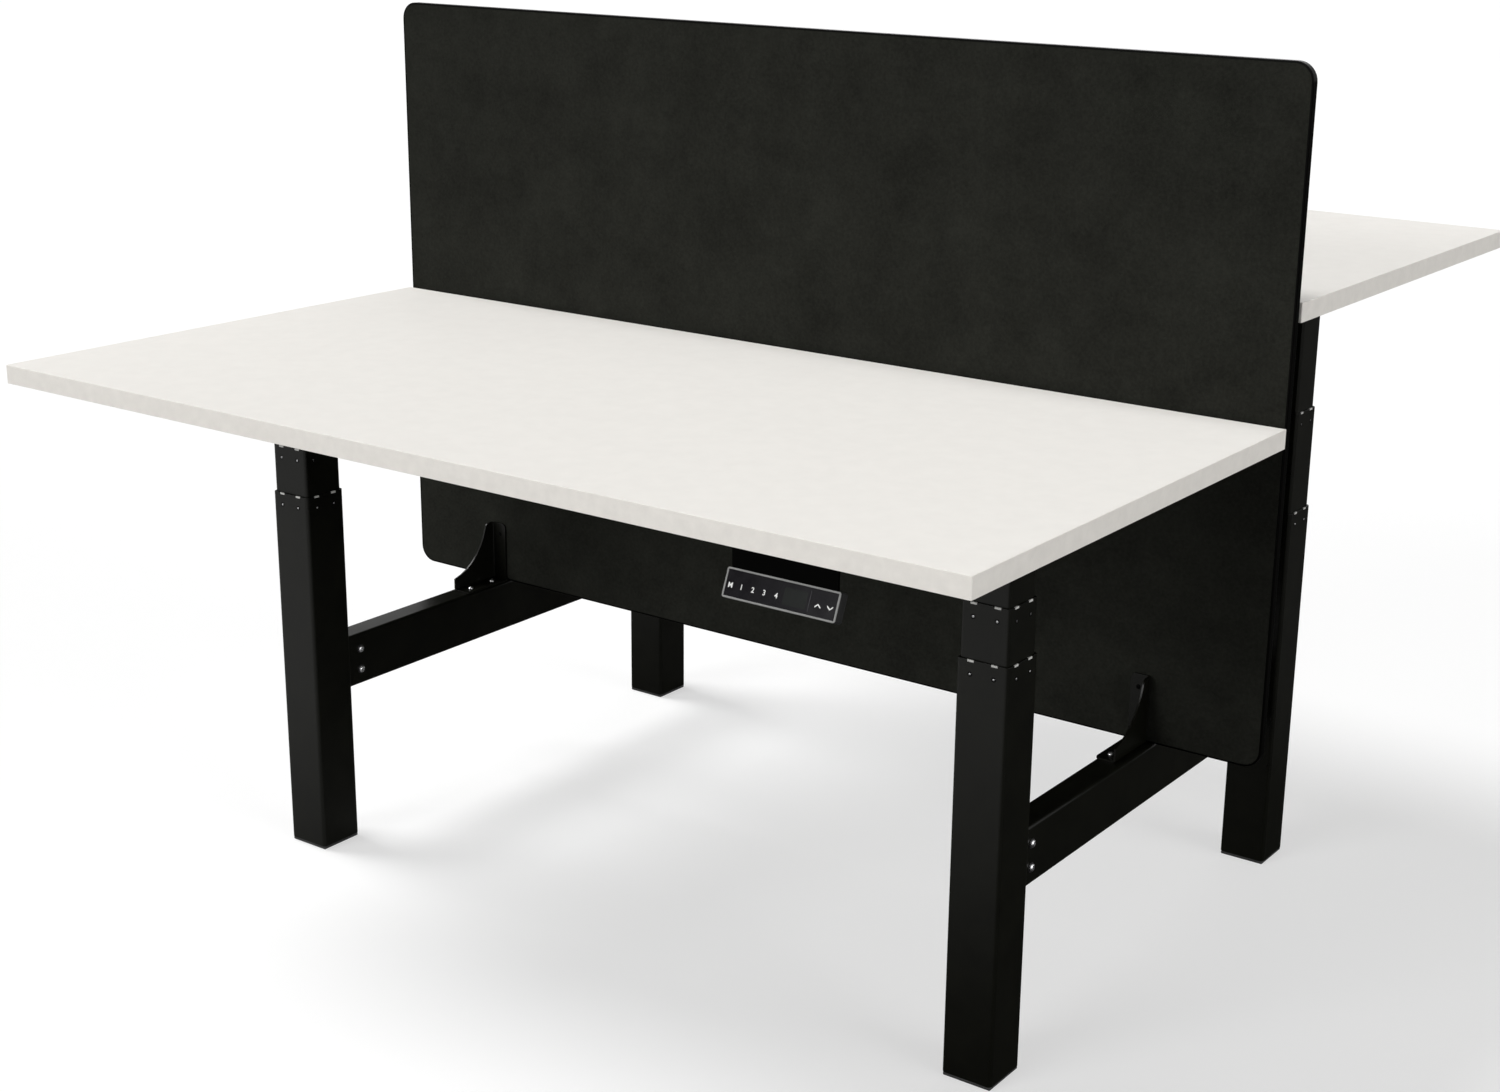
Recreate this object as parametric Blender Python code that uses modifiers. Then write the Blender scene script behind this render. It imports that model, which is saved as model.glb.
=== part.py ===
"""Height-adjustable double desk: two worktops back to back, each on two three-stage lifting columns.

Metres, +Z up. The origin is on the floor under the middle of the screen. The front worktop lies
towards -Y and +X is to the right of the person who sits there. The rear half is the front half
turned half a turn about Z, set to its own height.
"""

import math

import bmesh
import bpy
from mathutils import Matrix, Vector

# Clearances
TOUCH_GAP = 0.0003  # between faces that touch on the real desk
GUIDE_SEAT_GAP = 0.0002  # glide collar to the tube that carries it
GUIDE_RUN_GAP = 0.0003  # glide collar to the tube that slides through it
STOP_GAP = 0.006  # between stacked tube bottoms when the column is closed

# Worktops
WORKTOP_WIDTH = 1.500
WORKTOP_DEPTH = 0.750
WORKTOP_THICKNESS = 0.025
WORKTOP_EDGE_CHAMFER = 0.0008
FRONT_HEIGHT = 0.768  # top surface of the front worktop as it stands
REAR_HEIGHT = 0.923
SCREEN_CLEARANCE = 0.004  # worktop's back edge to the screen

# Columns
COLUMN_SIDE_INSET = 0.173  # from the worktop's end to the column's axis
COLUMN_USER_INSET = 0.360  # from the user edge to the column's axis
OUTER_SIZE = 0.070
TUBE_WALL = 0.0015
TUBE_STEP_GAP = 0.001  # between one tube's bore and the next tube
OUTER_CORNER = 0.005
MIDDLE_CORNER = 0.004
INNER_CORNER = 0.0035
OUTER_TOP = 0.547
RIM_STEP = 0.008  # a closed column's middle rim above the outer rim, and its head above that
OUTER_PLATE = 0.004
MIDDLE_PLATE = 0.003
HEAD_FLANGE_SIZE = 0.080
HEAD_FLANGE_THICKNESS = 0.004
PAD_SIZE = 0.068
PAD_THICKNESS = 0.005
PAD_CHAMFER = 0.0015

# Glide collars on the outer and middle rims
GUIDE_HEIGHT = 0.045
LUG_WIDTH = 0.009
LUG_HEIGHT = 0.0027
LUG_OFFSET = 0.016

# Spindle set in each column
SCREW_RADIUS = 0.006
SCREW_COLLAR_RADIUS = 0.0095
SCREW_COLLAR_HEIGHT = 0.0034
SCREW_JOURNAL = 0.020
HOLLOW_BORE = 0.0068
HOLLOW_RADIUS = 0.0095
HOLLOW_FLANGE_RADIUS = 0.013
HOLLOW_FLANGE_HEIGHT = 0.006
POST_BORE = 0.0105
POST_RADIUS = 0.013
POST_TOP = 0.400
POST_NUT_HEIGHT = 0.030
CARRIER_BORE = 0.014
CARRIER_RADIUS = 0.0175
CARRIER_LIP_HEIGHT = 0.004
CARRIER_LIP_CLEARANCE = 0.0008  # lip to the hollow screw's thread
CARRIER_NUT_HEIGHT = 0.024
POST_CLEARANCE = 0.002  # post's top to the carrier's lip when closed
SCREW_TIP_GAP = 0.003
FLANGE_BORE_GAP = 0.0025  # screw collar in the head flange

# Side beams and the spigots that they are bolted to
BEAM_WIDTH = 0.040
BEAM_HEIGHT = 0.080
BEAM_WALL = 0.002
BEAM_CORNER = 0.005
BEAM_BOTTOM = 0.232
SPIGOT_LENGTH = 0.055
SPIGOT_WALL = 0.0025
BEAM_BOLT_INSET = 0.033
BEAM_BOLT_SPACING = 0.032
BEAM_BOLT_HOLE = 0.0040

# Screen
SCREEN_SIDE_INSET = 0.002  # from the worktop's end to the screen's
SCREEN_HEIGHT = 0.900
SCREEN_THICKNESS = 0.012
SCREEN_CORNER = 0.025
TRIM_THICKNESS = 0.0025

# Screen brackets
BRACKET_PLATE = 0.0025
BRACKET_WEB_OFFSET = 0.010  # of the web's outside from the columns' axes, outwards
BRACKET_FLANGE_WIDTH = 0.028
BRACKET_FOOT_WIDTH = 0.030
BRACKET_FOOT_LENGTH = 0.092
BRACKET_TOE_HEIGHT = 0.0198
BRACKET_SWEEP_RADIUS = 0.093
BRACKET_SWEEP_OUT = 0.110  # sweep's centre, from the screen's face and from the beam's top
BRACKET_SWEEP_UP = 0.111
BRACKET_SWEEP_ANGLES = (-78, -16)  # from the toe to the tip, in degrees above the level
BRACKET_TIP_RADIUS = 0.009
BRACKET_BEND = 0.004
SHEET_CORNER = 0.007
BRACKET_HOLE = 0.0035
BRACKET_SCREEN_HOLE_UP = 0.076
BRACKET_FOOT_HOLES = (0.024, 0.072)
BRACKET_HOLE_FROM_WEB = 0.0165

# Frame under each worktop
ARM_WALL = 0.0025
ARM_HEIGHT = 0.040
ARM_TIP_HEIGHT = 0.016
ARM_FRONT_SETBACK = 0.055  # from the worktop's user edge
ARM_BACK_SETBACK = 0.035
ARM_FULL_HALF = 0.150  # full height this far each side of the column
ARM_SCREW_HOLE = 0.0035
ARM_SCREW_INSETS = (0.025, 0.135)
RAIL_HEIGHT = 0.036
RAIL_DEPTH = 0.020
RAIL_WALL = 0.002
RAIL_OFFSET = 0.075
RAIL_END_PLATE = 0.003
RAIL_END_WIDTH = 0.044

# Motor and gearbox
GEARBOX_SIZE = 0.062
GEARBOX_HEIGHT = 0.049
GEARBOX_CORNER = 0.004
GEARBOX_ARM_GAP = 0.0005
MOTOR_RADIUS = 0.021
MOTOR_LENGTH = 0.085
MOTOR_CAP_RADIUS = 0.017
MOTOR_CAP_LENGTH = 0.014
MOTOR_COLLAR_RADIUS = 0.0225
MOTOR_COLLAR_LENGTH = 0.006
MOTOR_CUTOUT_GAP = 0.0015

# Control box
BOX_LENGTH = 0.250
BOX_DEPTH = 0.095
BOX_HEIGHT = 0.034
BOX_X = 0.120
BOX_CORNER = 0.003
BOX_EAR_LENGTH = 0.018
BOX_EAR_HEIGHT = 0.004
BOX_EAR_DROP = 0.001  # below the case's top
BOX_EAR_WIDTH = 0.040
BOX_EAR_HOLE = 0.0025
BOX_PORT_WIDTH = 0.016
BOX_PORT_HEIGHT = 0.012
BOX_PORT_DEPTH = 0.010
BOX_PORT_PITCH = 0.030
BOX_PORT_COUNT = 4

# Handset under the user edge
HANDSET_WIDTH = 0.144
HANDSET_FACE = 0.033
HANDSET_THICKNESS = 0.014
HANDSET_CORNER = 0.003
HANDSET_TILT = math.radians(22)
HANDSET_SIDE_INSET = 0.225  # from the worktop's end to the handset's middle
HANDSET_DROP = 0.0225  # from the worktop's underside to the face's upper edge
HANDSET_SETBACK = 0.003  # from the user edge to the face's upper edge
HANDSET_RIM = 0.003
PANEL_THICKNESS = 0.0015
NECK_WIDTH = 0.110
NECK_THICKNESS = 0.003
NECK_SETBACK = 0.005  # behind the face's upper edge
NECK_SINK = 0.012  # down into the housing
FLANGE_LENGTH = 0.032
FLANGE_THICKNESS = 0.0025
FLANGE_HOLE = 0.002
FLANGE_HOLE_SPACING = 0.090

# Facets
ARC_STEPS = 3  # of a quarter circle
SWEEP_STEPS = 7
ROUND_STEPS = 16
HOLE_STEPS = 8

# Worked out from the sizes above
MIDDLE_SIZE = OUTER_SIZE - 2 * (TUBE_WALL + TUBE_STEP_GAP)
INNER_SIZE = MIDDLE_SIZE - 2 * (TUBE_WALL + TUBE_STEP_GAP)
OUTER_BOTTOM = PAD_THICKNESS + TOUCH_GAP
OUTER_FLOOR = OUTER_BOTTOM + OUTER_PLATE
BEAM_TOP = BEAM_BOTTOM + BEAM_HEIGHT
WORKTOP_BACK = SCREEN_THICKNESS / 2 + SCREEN_CLEARANCE
USER_EDGE = WORKTOP_BACK + WORKTOP_DEPTH
COLUMN_X = WORKTOP_WIDTH / 2 - COLUMN_SIDE_INSET
COLUMN_Y = USER_EDGE - COLUMN_USER_INSET
SCREEN_WIDTH = WORKTOP_WIDTH - 2 * SCREEN_SIDE_INSET
BRACKET_WEB_X = COLUMN_X + BRACKET_WEB_OFFSET
HANDSET_X = WORKTOP_WIDTH / 2 - HANDSET_SIDE_INSET
ARM_WIDTH = GEARBOX_SIZE + 2 * (GEARBOX_ARM_GAP + ARM_WALL)

# Heights of a closed column's pieces; a stage then lifts by its extension
CLOSED_MIDDLE_BOTTOM = OUTER_FLOOR + STOP_GAP
CLOSED_MIDDLE_TOP = OUTER_TOP + RIM_STEP
CLOSED_INNER_BOTTOM = CLOSED_MIDDLE_BOTTOM + MIDDLE_PLATE + STOP_GAP
CLOSED_HEAD_BOTTOM = CLOSED_MIDDLE_TOP + RIM_STEP
CLOSED_HEAD_TOP = CLOSED_HEAD_BOTTOM + HEAD_FLANGE_THICKNESS
CLOSED_GEARBOX_BOTTOM = CLOSED_HEAD_TOP + TOUCH_GAP
CLOSED_UNDERSIDE = CLOSED_GEARBOX_BOTTOM + GEARBOX_HEIGHT + TOUCH_GAP + ARM_WALL + TOUCH_GAP
CLOSED_HEIGHT = CLOSED_UNDERSIDE + WORKTOP_THICKNESS
CLOSED_LIP_BOTTOM = POST_TOP + POST_CLEARANCE
CLOSED_LIP_TOP = CLOSED_LIP_BOTTOM + CARRIER_LIP_HEIGHT
CLOSED_HOLLOW_SHOULDER = CLOSED_LIP_TOP + TOUCH_GAP
CLOSED_HOLLOW_TOP = CLOSED_HOLLOW_SHOULDER + HOLLOW_FLANGE_HEIGHT
CLOSED_NUT_BOTTOM = CLOSED_HOLLOW_TOP + TOUCH_GAP
CLOSED_CARRIER_TOP = CLOSED_NUT_BOTTOM + CARRIER_NUT_HEIGHT
CLOSED_HOLLOW_BOTTOM = OUTER_FLOOR + SCREW_TIP_GAP
CLOSED_SCREW_BOTTOM = CLOSED_HOLLOW_BOTTOM + SCREW_TIP_GAP

# Name, desk height and turn about Z of each half, and the sign of X and name of each side
HALVES = (("front", FRONT_HEIGHT, 0.0), ("rear", REAR_HEIGHT, math.pi))
SIDES = ((-1, "left"), (1, "right"))

COLOURS = {
    "powder_coat": ((0.022, 0.021, 0.020), 0.45, 0.0),
    "worktop_laminate": ((0.855, 0.835, 0.800), 0.42, 0.0),
    "screen_fabric": ((0.016, 0.016, 0.017), 0.90, 0.0),
    "edge_trim": ((0.010, 0.010, 0.010), 0.18, 0.0),
    "white_nylon": ((0.780, 0.780, 0.760), 0.50, 0.0),
    "black_nylon": ((0.018, 0.018, 0.018), 0.60, 0.0),
    "steel": ((0.560, 0.560, 0.570), 0.35, 1.0),
    "motor_housing": ((0.030, 0.030, 0.032), 0.50, 0.0),
    "box_plastic": ((0.024, 0.024, 0.025), 0.55, 0.0),
    "handset_plastic": ((0.120, 0.120, 0.122), 0.40, 0.0),
    "handset_glass": ((0.006, 0.006, 0.008), 0.08, 0.0),
}


def clear_scene():
    for old in list(bpy.data.objects):
        bpy.data.objects.remove(old, do_unlink=True)


def make_collection(name):
    collection = bpy.data.collections.new(name)
    bpy.context.scene.collection.children.link(collection)
    return collection


def make_materials():
    materials = {}
    for name, (colour, roughness, metallic) in COLOURS.items():
        material = bpy.data.materials.new(name)
        material.use_nodes = True
        shader = material.node_tree.nodes["Principled BSDF"]
        shader.inputs["Base Color"].default_value = (*colour, 1.0)
        shader.inputs["Roughness"].default_value = roughness
        shader.inputs["Metallic"].default_value = metallic
        materials[name] = material
    return materials


clear_scene()
DESK = make_collection("height_adjustable_double_desk")
CUTTERS = make_collection("cutters")
MATERIALS = make_materials()


# Shapes. Each helper returns an object in the cutters collection until a piece takes its mesh.


def helper(name, mesh):
    shape = bpy.data.objects.new(name, mesh)
    shape.hide_render = True
    shape.display_type = "WIRE"
    CUTTERS.objects.link(shape)
    return shape


def bake(shape):
    """Replaces the object's mesh by what its modifiers make of it."""
    graph = bpy.context.evaluated_depsgraph_get()
    mesh = bpy.data.meshes.new_from_object(shape.evaluated_get(graph))
    shape.modifiers.clear()
    shape.data = mesh


def box(corner, opposite, bevel=0.0, segments=2):
    """A box between two opposite corners, its edges rounded by bevel."""
    mesh = bpy.data.meshes.new("box")
    solid = bmesh.new()
    centre = (Vector(corner) + Vector(opposite)) / 2
    size = [abs(end - start) for start, end in zip(corner, opposite)]
    place = Matrix.Translation(centre) @ Matrix.Diagonal((*size, 1.0))
    bmesh.ops.create_cube(solid, size=1.0, matrix=place)
    solid.to_mesh(mesh)
    solid.free()
    shape = helper("box", mesh)
    if bevel:
        rounding = shape.modifiers.new("Bevel", "BEVEL")
        rounding.width = bevel
        rounding.segments = segments
        rounding.limit_method = "ANGLE"
        bake(shape)
    return shape


def cylinder(radius, start, end, steps=ROUND_STEPS):
    """A cylinder between the centres of its two ends."""
    start, end = Vector(start), Vector(end)
    along = end - start
    mesh = bpy.data.meshes.new("cylinder")
    solid = bmesh.new()
    aim = along.to_track_quat("Z", "Y").to_matrix().to_4x4()
    bmesh.ops.create_cone(
        solid,
        cap_ends=True,
        segments=steps,
        radius1=radius,
        radius2=radius,
        depth=along.length,
        matrix=Matrix.Translation((start + end) / 2) @ aim,
    )
    solid.to_mesh(mesh)
    solid.free()
    return helper("cylinder", mesh)


def arc(centre, radius, start, end, steps=ARC_STEPS):
    """Points on an arc, angles in degrees."""
    points = []
    for step in range(steps + 1):
        angle = math.radians(start + (end - start) * step / steps)
        points.append((centre[0] + radius * math.cos(angle), centre[1] + radius * math.sin(angle)))
    return points


def rounded_rectangle(width, height, radius, centre=(0.0, 0.0)):
    """An outline with round corners, anticlockwise."""
    points = []
    for quarter, (sign_x, sign_y) in enumerate(((1, 1), (-1, 1), (-1, -1), (1, -1))):
        corner = (
            centre[0] + sign_x * (width / 2 - radius),
            centre[1] + sign_y * (height / 2 - radius),
        )
        points += arc(corner, radius, 90 * quarter, 90 * quarter + 90)
    return points


# Turns an outline's plane to lie across each axis: (y, z) for X, (x, z) for Y, (x, y) for Z
AXIS_TURN = {
    "X": Matrix(((0, 0, 1, 0), (1, 0, 0, 0), (0, 1, 0, 0), (0, 0, 0, 1))),
    "Y": Matrix(((1, 0, 0, 0), (0, 0, -1, 0), (0, 1, 0, 0), (0, 0, 0, 1))),
    "Z": Matrix.Identity(4),
}
AXIS_VECTOR = {"X": Vector((1, 0, 0)), "Y": Vector((0, 1, 0)), "Z": Vector((0, 0, 1))}


def prism(outlines, axis, low, high):
    """Outlines, the first one round any holes, extruded along an axis from low to high."""
    curve = bpy.data.curves.new("outline", "CURVE")
    curve.dimensions = "2D"
    curve.fill_mode = "BOTH"
    curve.extrude = (high - low) / 2
    for outline in outlines:
        spline = curve.splines.new("POLY")
        spline.points.add(len(outline) - 1)
        for point, (x, y) in zip(spline.points, outline):
            point.co = (x, y, 0.0, 1.0)
        spline.use_cyclic_u = True
    drawn = bpy.data.objects.new("outline", curve)
    CUTTERS.objects.link(drawn)
    graph = bpy.context.evaluated_depsgraph_get()
    mesh = bpy.data.meshes.new_from_object(drawn.evaluated_get(graph))
    bpy.data.objects.remove(drawn, do_unlink=True)
    solid = bmesh.new()
    solid.from_mesh(mesh)
    bmesh.ops.remove_doubles(solid, verts=solid.verts, dist=1e-6)
    middle = AXIS_VECTOR[axis] * ((low + high) / 2)
    bmesh.ops.transform(solid, matrix=Matrix.Translation(middle) @ AXIS_TURN[axis], verts=solid.verts)
    bmesh.ops.recalc_face_normals(solid, faces=solid.faces)
    solid.to_mesh(mesh)
    solid.free()
    return helper("prism", mesh)


def turned(profile, closed):
    """A profile of (radius, height) turned about Z, running down its outer side."""
    mesh = bpy.data.meshes.new("profile")
    solid = bmesh.new()
    points = [solid.verts.new((radius, 0.0, height)) for radius, height in profile]
    for first, second in zip(points, points[1:]):
        solid.edges.new((first, second))
    if closed:
        solid.edges.new((points[-1], points[0]))
    solid.to_mesh(mesh)
    solid.free()
    shape = helper("turned", mesh)
    screw = shape.modifiers.new("Screw", "SCREW")
    screw.steps = ROUND_STEPS
    screw.render_steps = ROUND_STEPS
    screw.use_merge_vertices = True
    screw.merge_threshold = 1e-5
    bake(shape)
    return shape


def round_edges(shape, radius, lines):
    """Rounds the edges on each line, a line being where two planes (axis number, position) meet."""
    solid = bmesh.new()
    solid.from_mesh(shape.data)
    chosen = []
    for edge in solid.edges:
        for line in lines:
            if all(abs(end.co[axis] - place) < 1e-6 for end in edge.verts for axis, place in line):
                chosen.append(edge)
    bmesh.ops.bevel(solid, geom=chosen, offset=radius, segments=ARC_STEPS, profile=0.5, affect="EDGES")
    solid.to_mesh(shape.data)
    solid.free()


def corner_trim(axis, corner, outwards, low, high):
    """A cutter that rounds a sheet's free corner at a point of the plane across the axis."""
    sign_x, sign_y = outwards
    radius = SHEET_CORNER
    centre = (corner[0] - sign_x * radius, corner[1] - sign_y * radius)
    sliver = [
        (corner[0] + sign_x * radius, centre[1]),
        (corner[0] + sign_x * radius, corner[1] + sign_y * radius),
        (centre[0], corner[1] + sign_y * radius),
    ]
    for step in range(ARC_STEPS + 1):
        angle = math.radians(90 - 90 * step / ARC_STEPS)
        across = sign_x * radius * math.cos(angle)
        sliver.append((centre[0] + across, centre[1] + sign_y * radius * math.sin(angle)))
    return prism([sliver], axis, low, high)


def combine(shape, others, operation):
    """Joins the other shapes to this one, or cuts them from it, and removes them."""
    for other in others:
        modifier = shape.modifiers.new("Boolean", "BOOLEAN")
        modifier.operation = operation
        modifier.solver = "EXACT"
        modifier.object = other
        bake(shape)
        bpy.data.objects.remove(other, do_unlink=True)
    return shape


def join(shape, *others):
    return combine(shape, others, "UNION")


def cut(shape, *others):
    return combine(shape, others, "DIFFERENCE")


def turn(shape, matrix):
    shape.data.transform(matrix)
    return shape


def mesh_of(shape):
    """Takes the finished mesh from its helper object, shaded smooth over small angles."""
    mesh = shape.data
    bpy.data.objects.remove(shape, do_unlink=True)
    mesh.shade_smooth()
    mesh.set_sharp_from_angle(angle=math.radians(35))
    return mesh


def piece(name, mesh, material, parent=None, location=(0.0, 0.0, 0.0), turned_by=0.0):
    """One named sub-part that may share its mesh with its copies."""
    if not mesh.materials:
        mesh.materials.append(MATERIALS[material])
    mesh.name = name
    part = bpy.data.objects.new(name, mesh)
    part.location = location
    part.rotation_euler = (0.0, 0.0, turned_by)
    part.parent = parent
    DESK.objects.link(part)
    return part


def empty(name, location=(0.0, 0.0, 0.0), turned_by=0.0, parent=None):
    marker = bpy.data.objects.new(name, None)
    marker.empty_display_size = 0.05
    marker.location = location
    marker.rotation_euler = (0.0, 0.0, turned_by)
    marker.parent = parent
    DESK.objects.link(marker)
    return marker


# Columns. Their meshes stand on the column's axis, at the heights of a closed column.


def square(size, corner):
    return rounded_rectangle(size, size, corner)


def square_tube(size, corner, low, high):
    bore = square(size - 2 * TUBE_WALL, corner - TUBE_WALL)
    return prism([square(size, corner), bore], "Z", low, high)


def floored_tube(size, corner, low, floor, high):
    """A square tube whose welded floor plate lies between low and floor."""
    bore = square(size - 2 * TUBE_WALL, corner - TUBE_WALL)
    tube = prism([square(size, corner)], "Z", low, high)
    return cut(tube, prism([bore], "Z", floor, high + TUBE_WALL))


def rim_bars(size, rim, spare):
    """Two bars each way across a rim, for the lugs, or with spare for their notches."""
    reach = size / 2 + spare
    half = LUG_WIDTH / 2 + spare
    bottom = rim - LUG_HEIGHT - spare
    bars = []
    for side in (-1, 1):
        offset = side * LUG_OFFSET
        bars.append(box((-reach, offset - half, bottom), (reach, offset + half, rim + spare)))
        bars.append(box((offset - half, -reach, bottom), (offset + half, reach, rim + spare)))
    return bars


def nut_post():
    """The fixed post on the outer tube's floor, with the lower nut at its top."""
    nut_bore = HOLLOW_RADIUS + TOUCH_GAP
    nut_bottom = POST_TOP - POST_NUT_HEIGHT
    foot = OUTER_FLOOR - OUTER_PLATE / 2
    profile = [
        (POST_RADIUS, POST_TOP),
        (POST_RADIUS, foot),
        (POST_BORE, foot),
        (POST_BORE, nut_bottom),
        (nut_bore, nut_bottom),
        (nut_bore, POST_TOP),
    ]
    return turned(profile, closed=True)


def beam_spigot():
    """The box on the tube's inner face that the side beam slides over and is bolted to."""
    centre = (0.0, BEAM_BOTTOM + BEAM_HEIGHT / 2)
    width = BEAM_WIDTH - 2 * (BEAM_WALL + TOUCH_GAP)
    height = BEAM_HEIGHT - 2 * (BEAM_WALL + TOUCH_GAP)
    corner = BEAM_CORNER - BEAM_WALL
    outline = rounded_rectangle(width, height, corner, centre)
    half_width = width / 2 - SPIGOT_WALL
    half_height = height / 2 - SPIGOT_WALL
    signs = ((1, 1), (-1, 1), (-1, -1), (1, -1))
    bore = [(x * half_width, centre[1] + z * half_height) for x, z in signs]
    root = OUTER_SIZE / 2 - TUBE_WALL / 2
    return prism([outline, bore], "Y", root, OUTER_SIZE / 2 + SPIGOT_LENGTH)


def beam_bolt_holes(y, half_width):
    centre = BEAM_BOTTOM + BEAM_HEIGHT / 2
    holes = []
    for side in (-1, 1):
        height = centre + side * BEAM_BOLT_SPACING / 2
        ends = (-half_width, y, height), (half_width, y, height)
        holes.append(cylinder(BEAM_BOLT_HOLE, *ends, HOLE_STEPS))
    return holes


def outer_tube_mesh():
    """The thick bottom tube of a front column, its spigot towards +Y."""
    tube = floored_tube(OUTER_SIZE, OUTER_CORNER, OUTER_BOTTOM, OUTER_FLOOR, OUTER_TOP)
    join(tube, nut_post(), beam_spigot())
    cut(tube, *rim_bars(OUTER_SIZE, OUTER_TOP, TOUCH_GAP))
    cut(tube, *beam_bolt_holes(OUTER_SIZE / 2 + BEAM_BOLT_INSET, BEAM_WIDTH))
    return mesh_of(tube)


def screw_carrier():
    """The tube on the middle tube's floor that holds the hollow screw, with the upper nut at its top."""
    lip_bore = HOLLOW_RADIUS + CARRIER_LIP_CLEARANCE
    nut_bore = SCREW_RADIUS + TOUCH_GAP
    foot = CLOSED_MIDDLE_BOTTOM + MIDDLE_PLATE / 4
    profile = [
        (CARRIER_RADIUS, CLOSED_CARRIER_TOP),
        (CARRIER_RADIUS, foot),
        (CARRIER_BORE, foot),
        (CARRIER_BORE, CLOSED_LIP_BOTTOM),
        (lip_bore, CLOSED_LIP_BOTTOM),
        (lip_bore, CLOSED_LIP_TOP),
        (CARRIER_BORE, CLOSED_LIP_TOP),
        (CARRIER_BORE, CLOSED_NUT_BOTTOM),
        (nut_bore, CLOSED_NUT_BOTTOM),
        (nut_bore, CLOSED_CARRIER_TOP),
    ]
    return turned(profile, closed=True)


def middle_tube_mesh():
    floor = CLOSED_MIDDLE_BOTTOM + MIDDLE_PLATE
    tube = floored_tube(MIDDLE_SIZE, MIDDLE_CORNER, CLOSED_MIDDLE_BOTTOM, floor, CLOSED_MIDDLE_TOP)
    opening = (CARRIER_BORE + CARRIER_RADIUS) / 2
    below = (0.0, 0.0, CLOSED_MIDDLE_BOTTOM - MIDDLE_PLATE)
    above = (0.0, 0.0, floor + MIDDLE_PLATE)
    cut(tube, cylinder(opening, below, above))
    join(tube, screw_carrier())
    cut(tube, *rim_bars(MIDDLE_SIZE, CLOSED_MIDDLE_TOP, TOUCH_GAP))
    return mesh_of(tube)


def inner_tube_mesh():
    """The thin top tube with its head flange, bored for the drive screw."""
    tube = square_tube(
        INNER_SIZE, INNER_CORNER, CLOSED_INNER_BOTTOM, CLOSED_HEAD_BOTTOM + HEAD_FLANGE_THICKNESS / 2
    )
    flange = prism([square(HEAD_FLANGE_SIZE, INNER_CORNER)], "Z", CLOSED_HEAD_BOTTOM, CLOSED_HEAD_TOP)
    join(tube, flange)
    below = (0.0, 0.0, CLOSED_HEAD_BOTTOM - HEAD_FLANGE_THICKNESS)
    above = (0.0, 0.0, CLOSED_HEAD_TOP + HEAD_FLANGE_THICKNESS)
    cut(tube, cylinder(SCREW_COLLAR_RADIUS + FLANGE_BORE_GAP, below, above))
    return mesh_of(tube)


def guide_mesh(carrier_size, carrier_corner, slider_size, slider_corner, rim):
    """The white glide collar inside a rim, its eight lugs showing in the rim's notches."""
    size = carrier_size - 2 * (TUBE_WALL + GUIDE_SEAT_GAP)
    corner = carrier_corner - TUBE_WALL - GUIDE_SEAT_GAP
    collar = prism([square(size, corner)], "Z", rim - GUIDE_HEIGHT, rim)
    join(collar, *rim_bars(carrier_size, rim, 0.0))
    bore = square(slider_size + 2 * GUIDE_RUN_GAP, slider_corner + GUIDE_RUN_GAP)
    cut(collar, prism([bore], "Z", rim - 2 * GUIDE_HEIGHT, rim + GUIDE_HEIGHT))
    return mesh_of(collar)


def foot_pad_mesh():
    return mesh_of(
        box(
            (-PAD_SIZE / 2, -PAD_SIZE / 2, 0.0),
            (PAD_SIZE / 2, PAD_SIZE / 2, PAD_THICKNESS),
            PAD_CHAMFER,
            1,
        )
    )


def hollow_screw_mesh():
    """The lower screw: it turns under the carrier's nut, keyed over the drive screw."""
    profile = [
        (HOLLOW_FLANGE_RADIUS, CLOSED_HOLLOW_TOP),
        (HOLLOW_FLANGE_RADIUS, CLOSED_HOLLOW_SHOULDER),
        (HOLLOW_RADIUS, CLOSED_HOLLOW_SHOULDER),
        (HOLLOW_RADIUS, CLOSED_HOLLOW_BOTTOM),
        (HOLLOW_BORE, CLOSED_HOLLOW_BOTTOM),
        (HOLLOW_BORE, CLOSED_HOLLOW_TOP),
    ]
    return mesh_of(turned(profile, closed=True))


def drive_screw_mesh():
    """The upper screw, hung from the gearbox by its collar."""
    collar_top = CLOSED_GEARBOX_BOTTOM - TOUCH_GAP
    collar_bottom = collar_top - SCREW_COLLAR_HEIGHT
    profile = [
        (0.0, CLOSED_GEARBOX_BOTTOM + SCREW_JOURNAL),
        (SCREW_RADIUS, CLOSED_GEARBOX_BOTTOM + SCREW_JOURNAL),
        (SCREW_RADIUS, collar_top),
        (SCREW_COLLAR_RADIUS, collar_top),
        (SCREW_COLLAR_RADIUS, collar_bottom),
        (SCREW_RADIUS, collar_bottom),
        (SCREW_RADIUS, CLOSED_SCREW_BOTTOM),
        (0.0, CLOSED_SCREW_BOTTOM),
    ]
    return mesh_of(turned(profile, closed=False))


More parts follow.
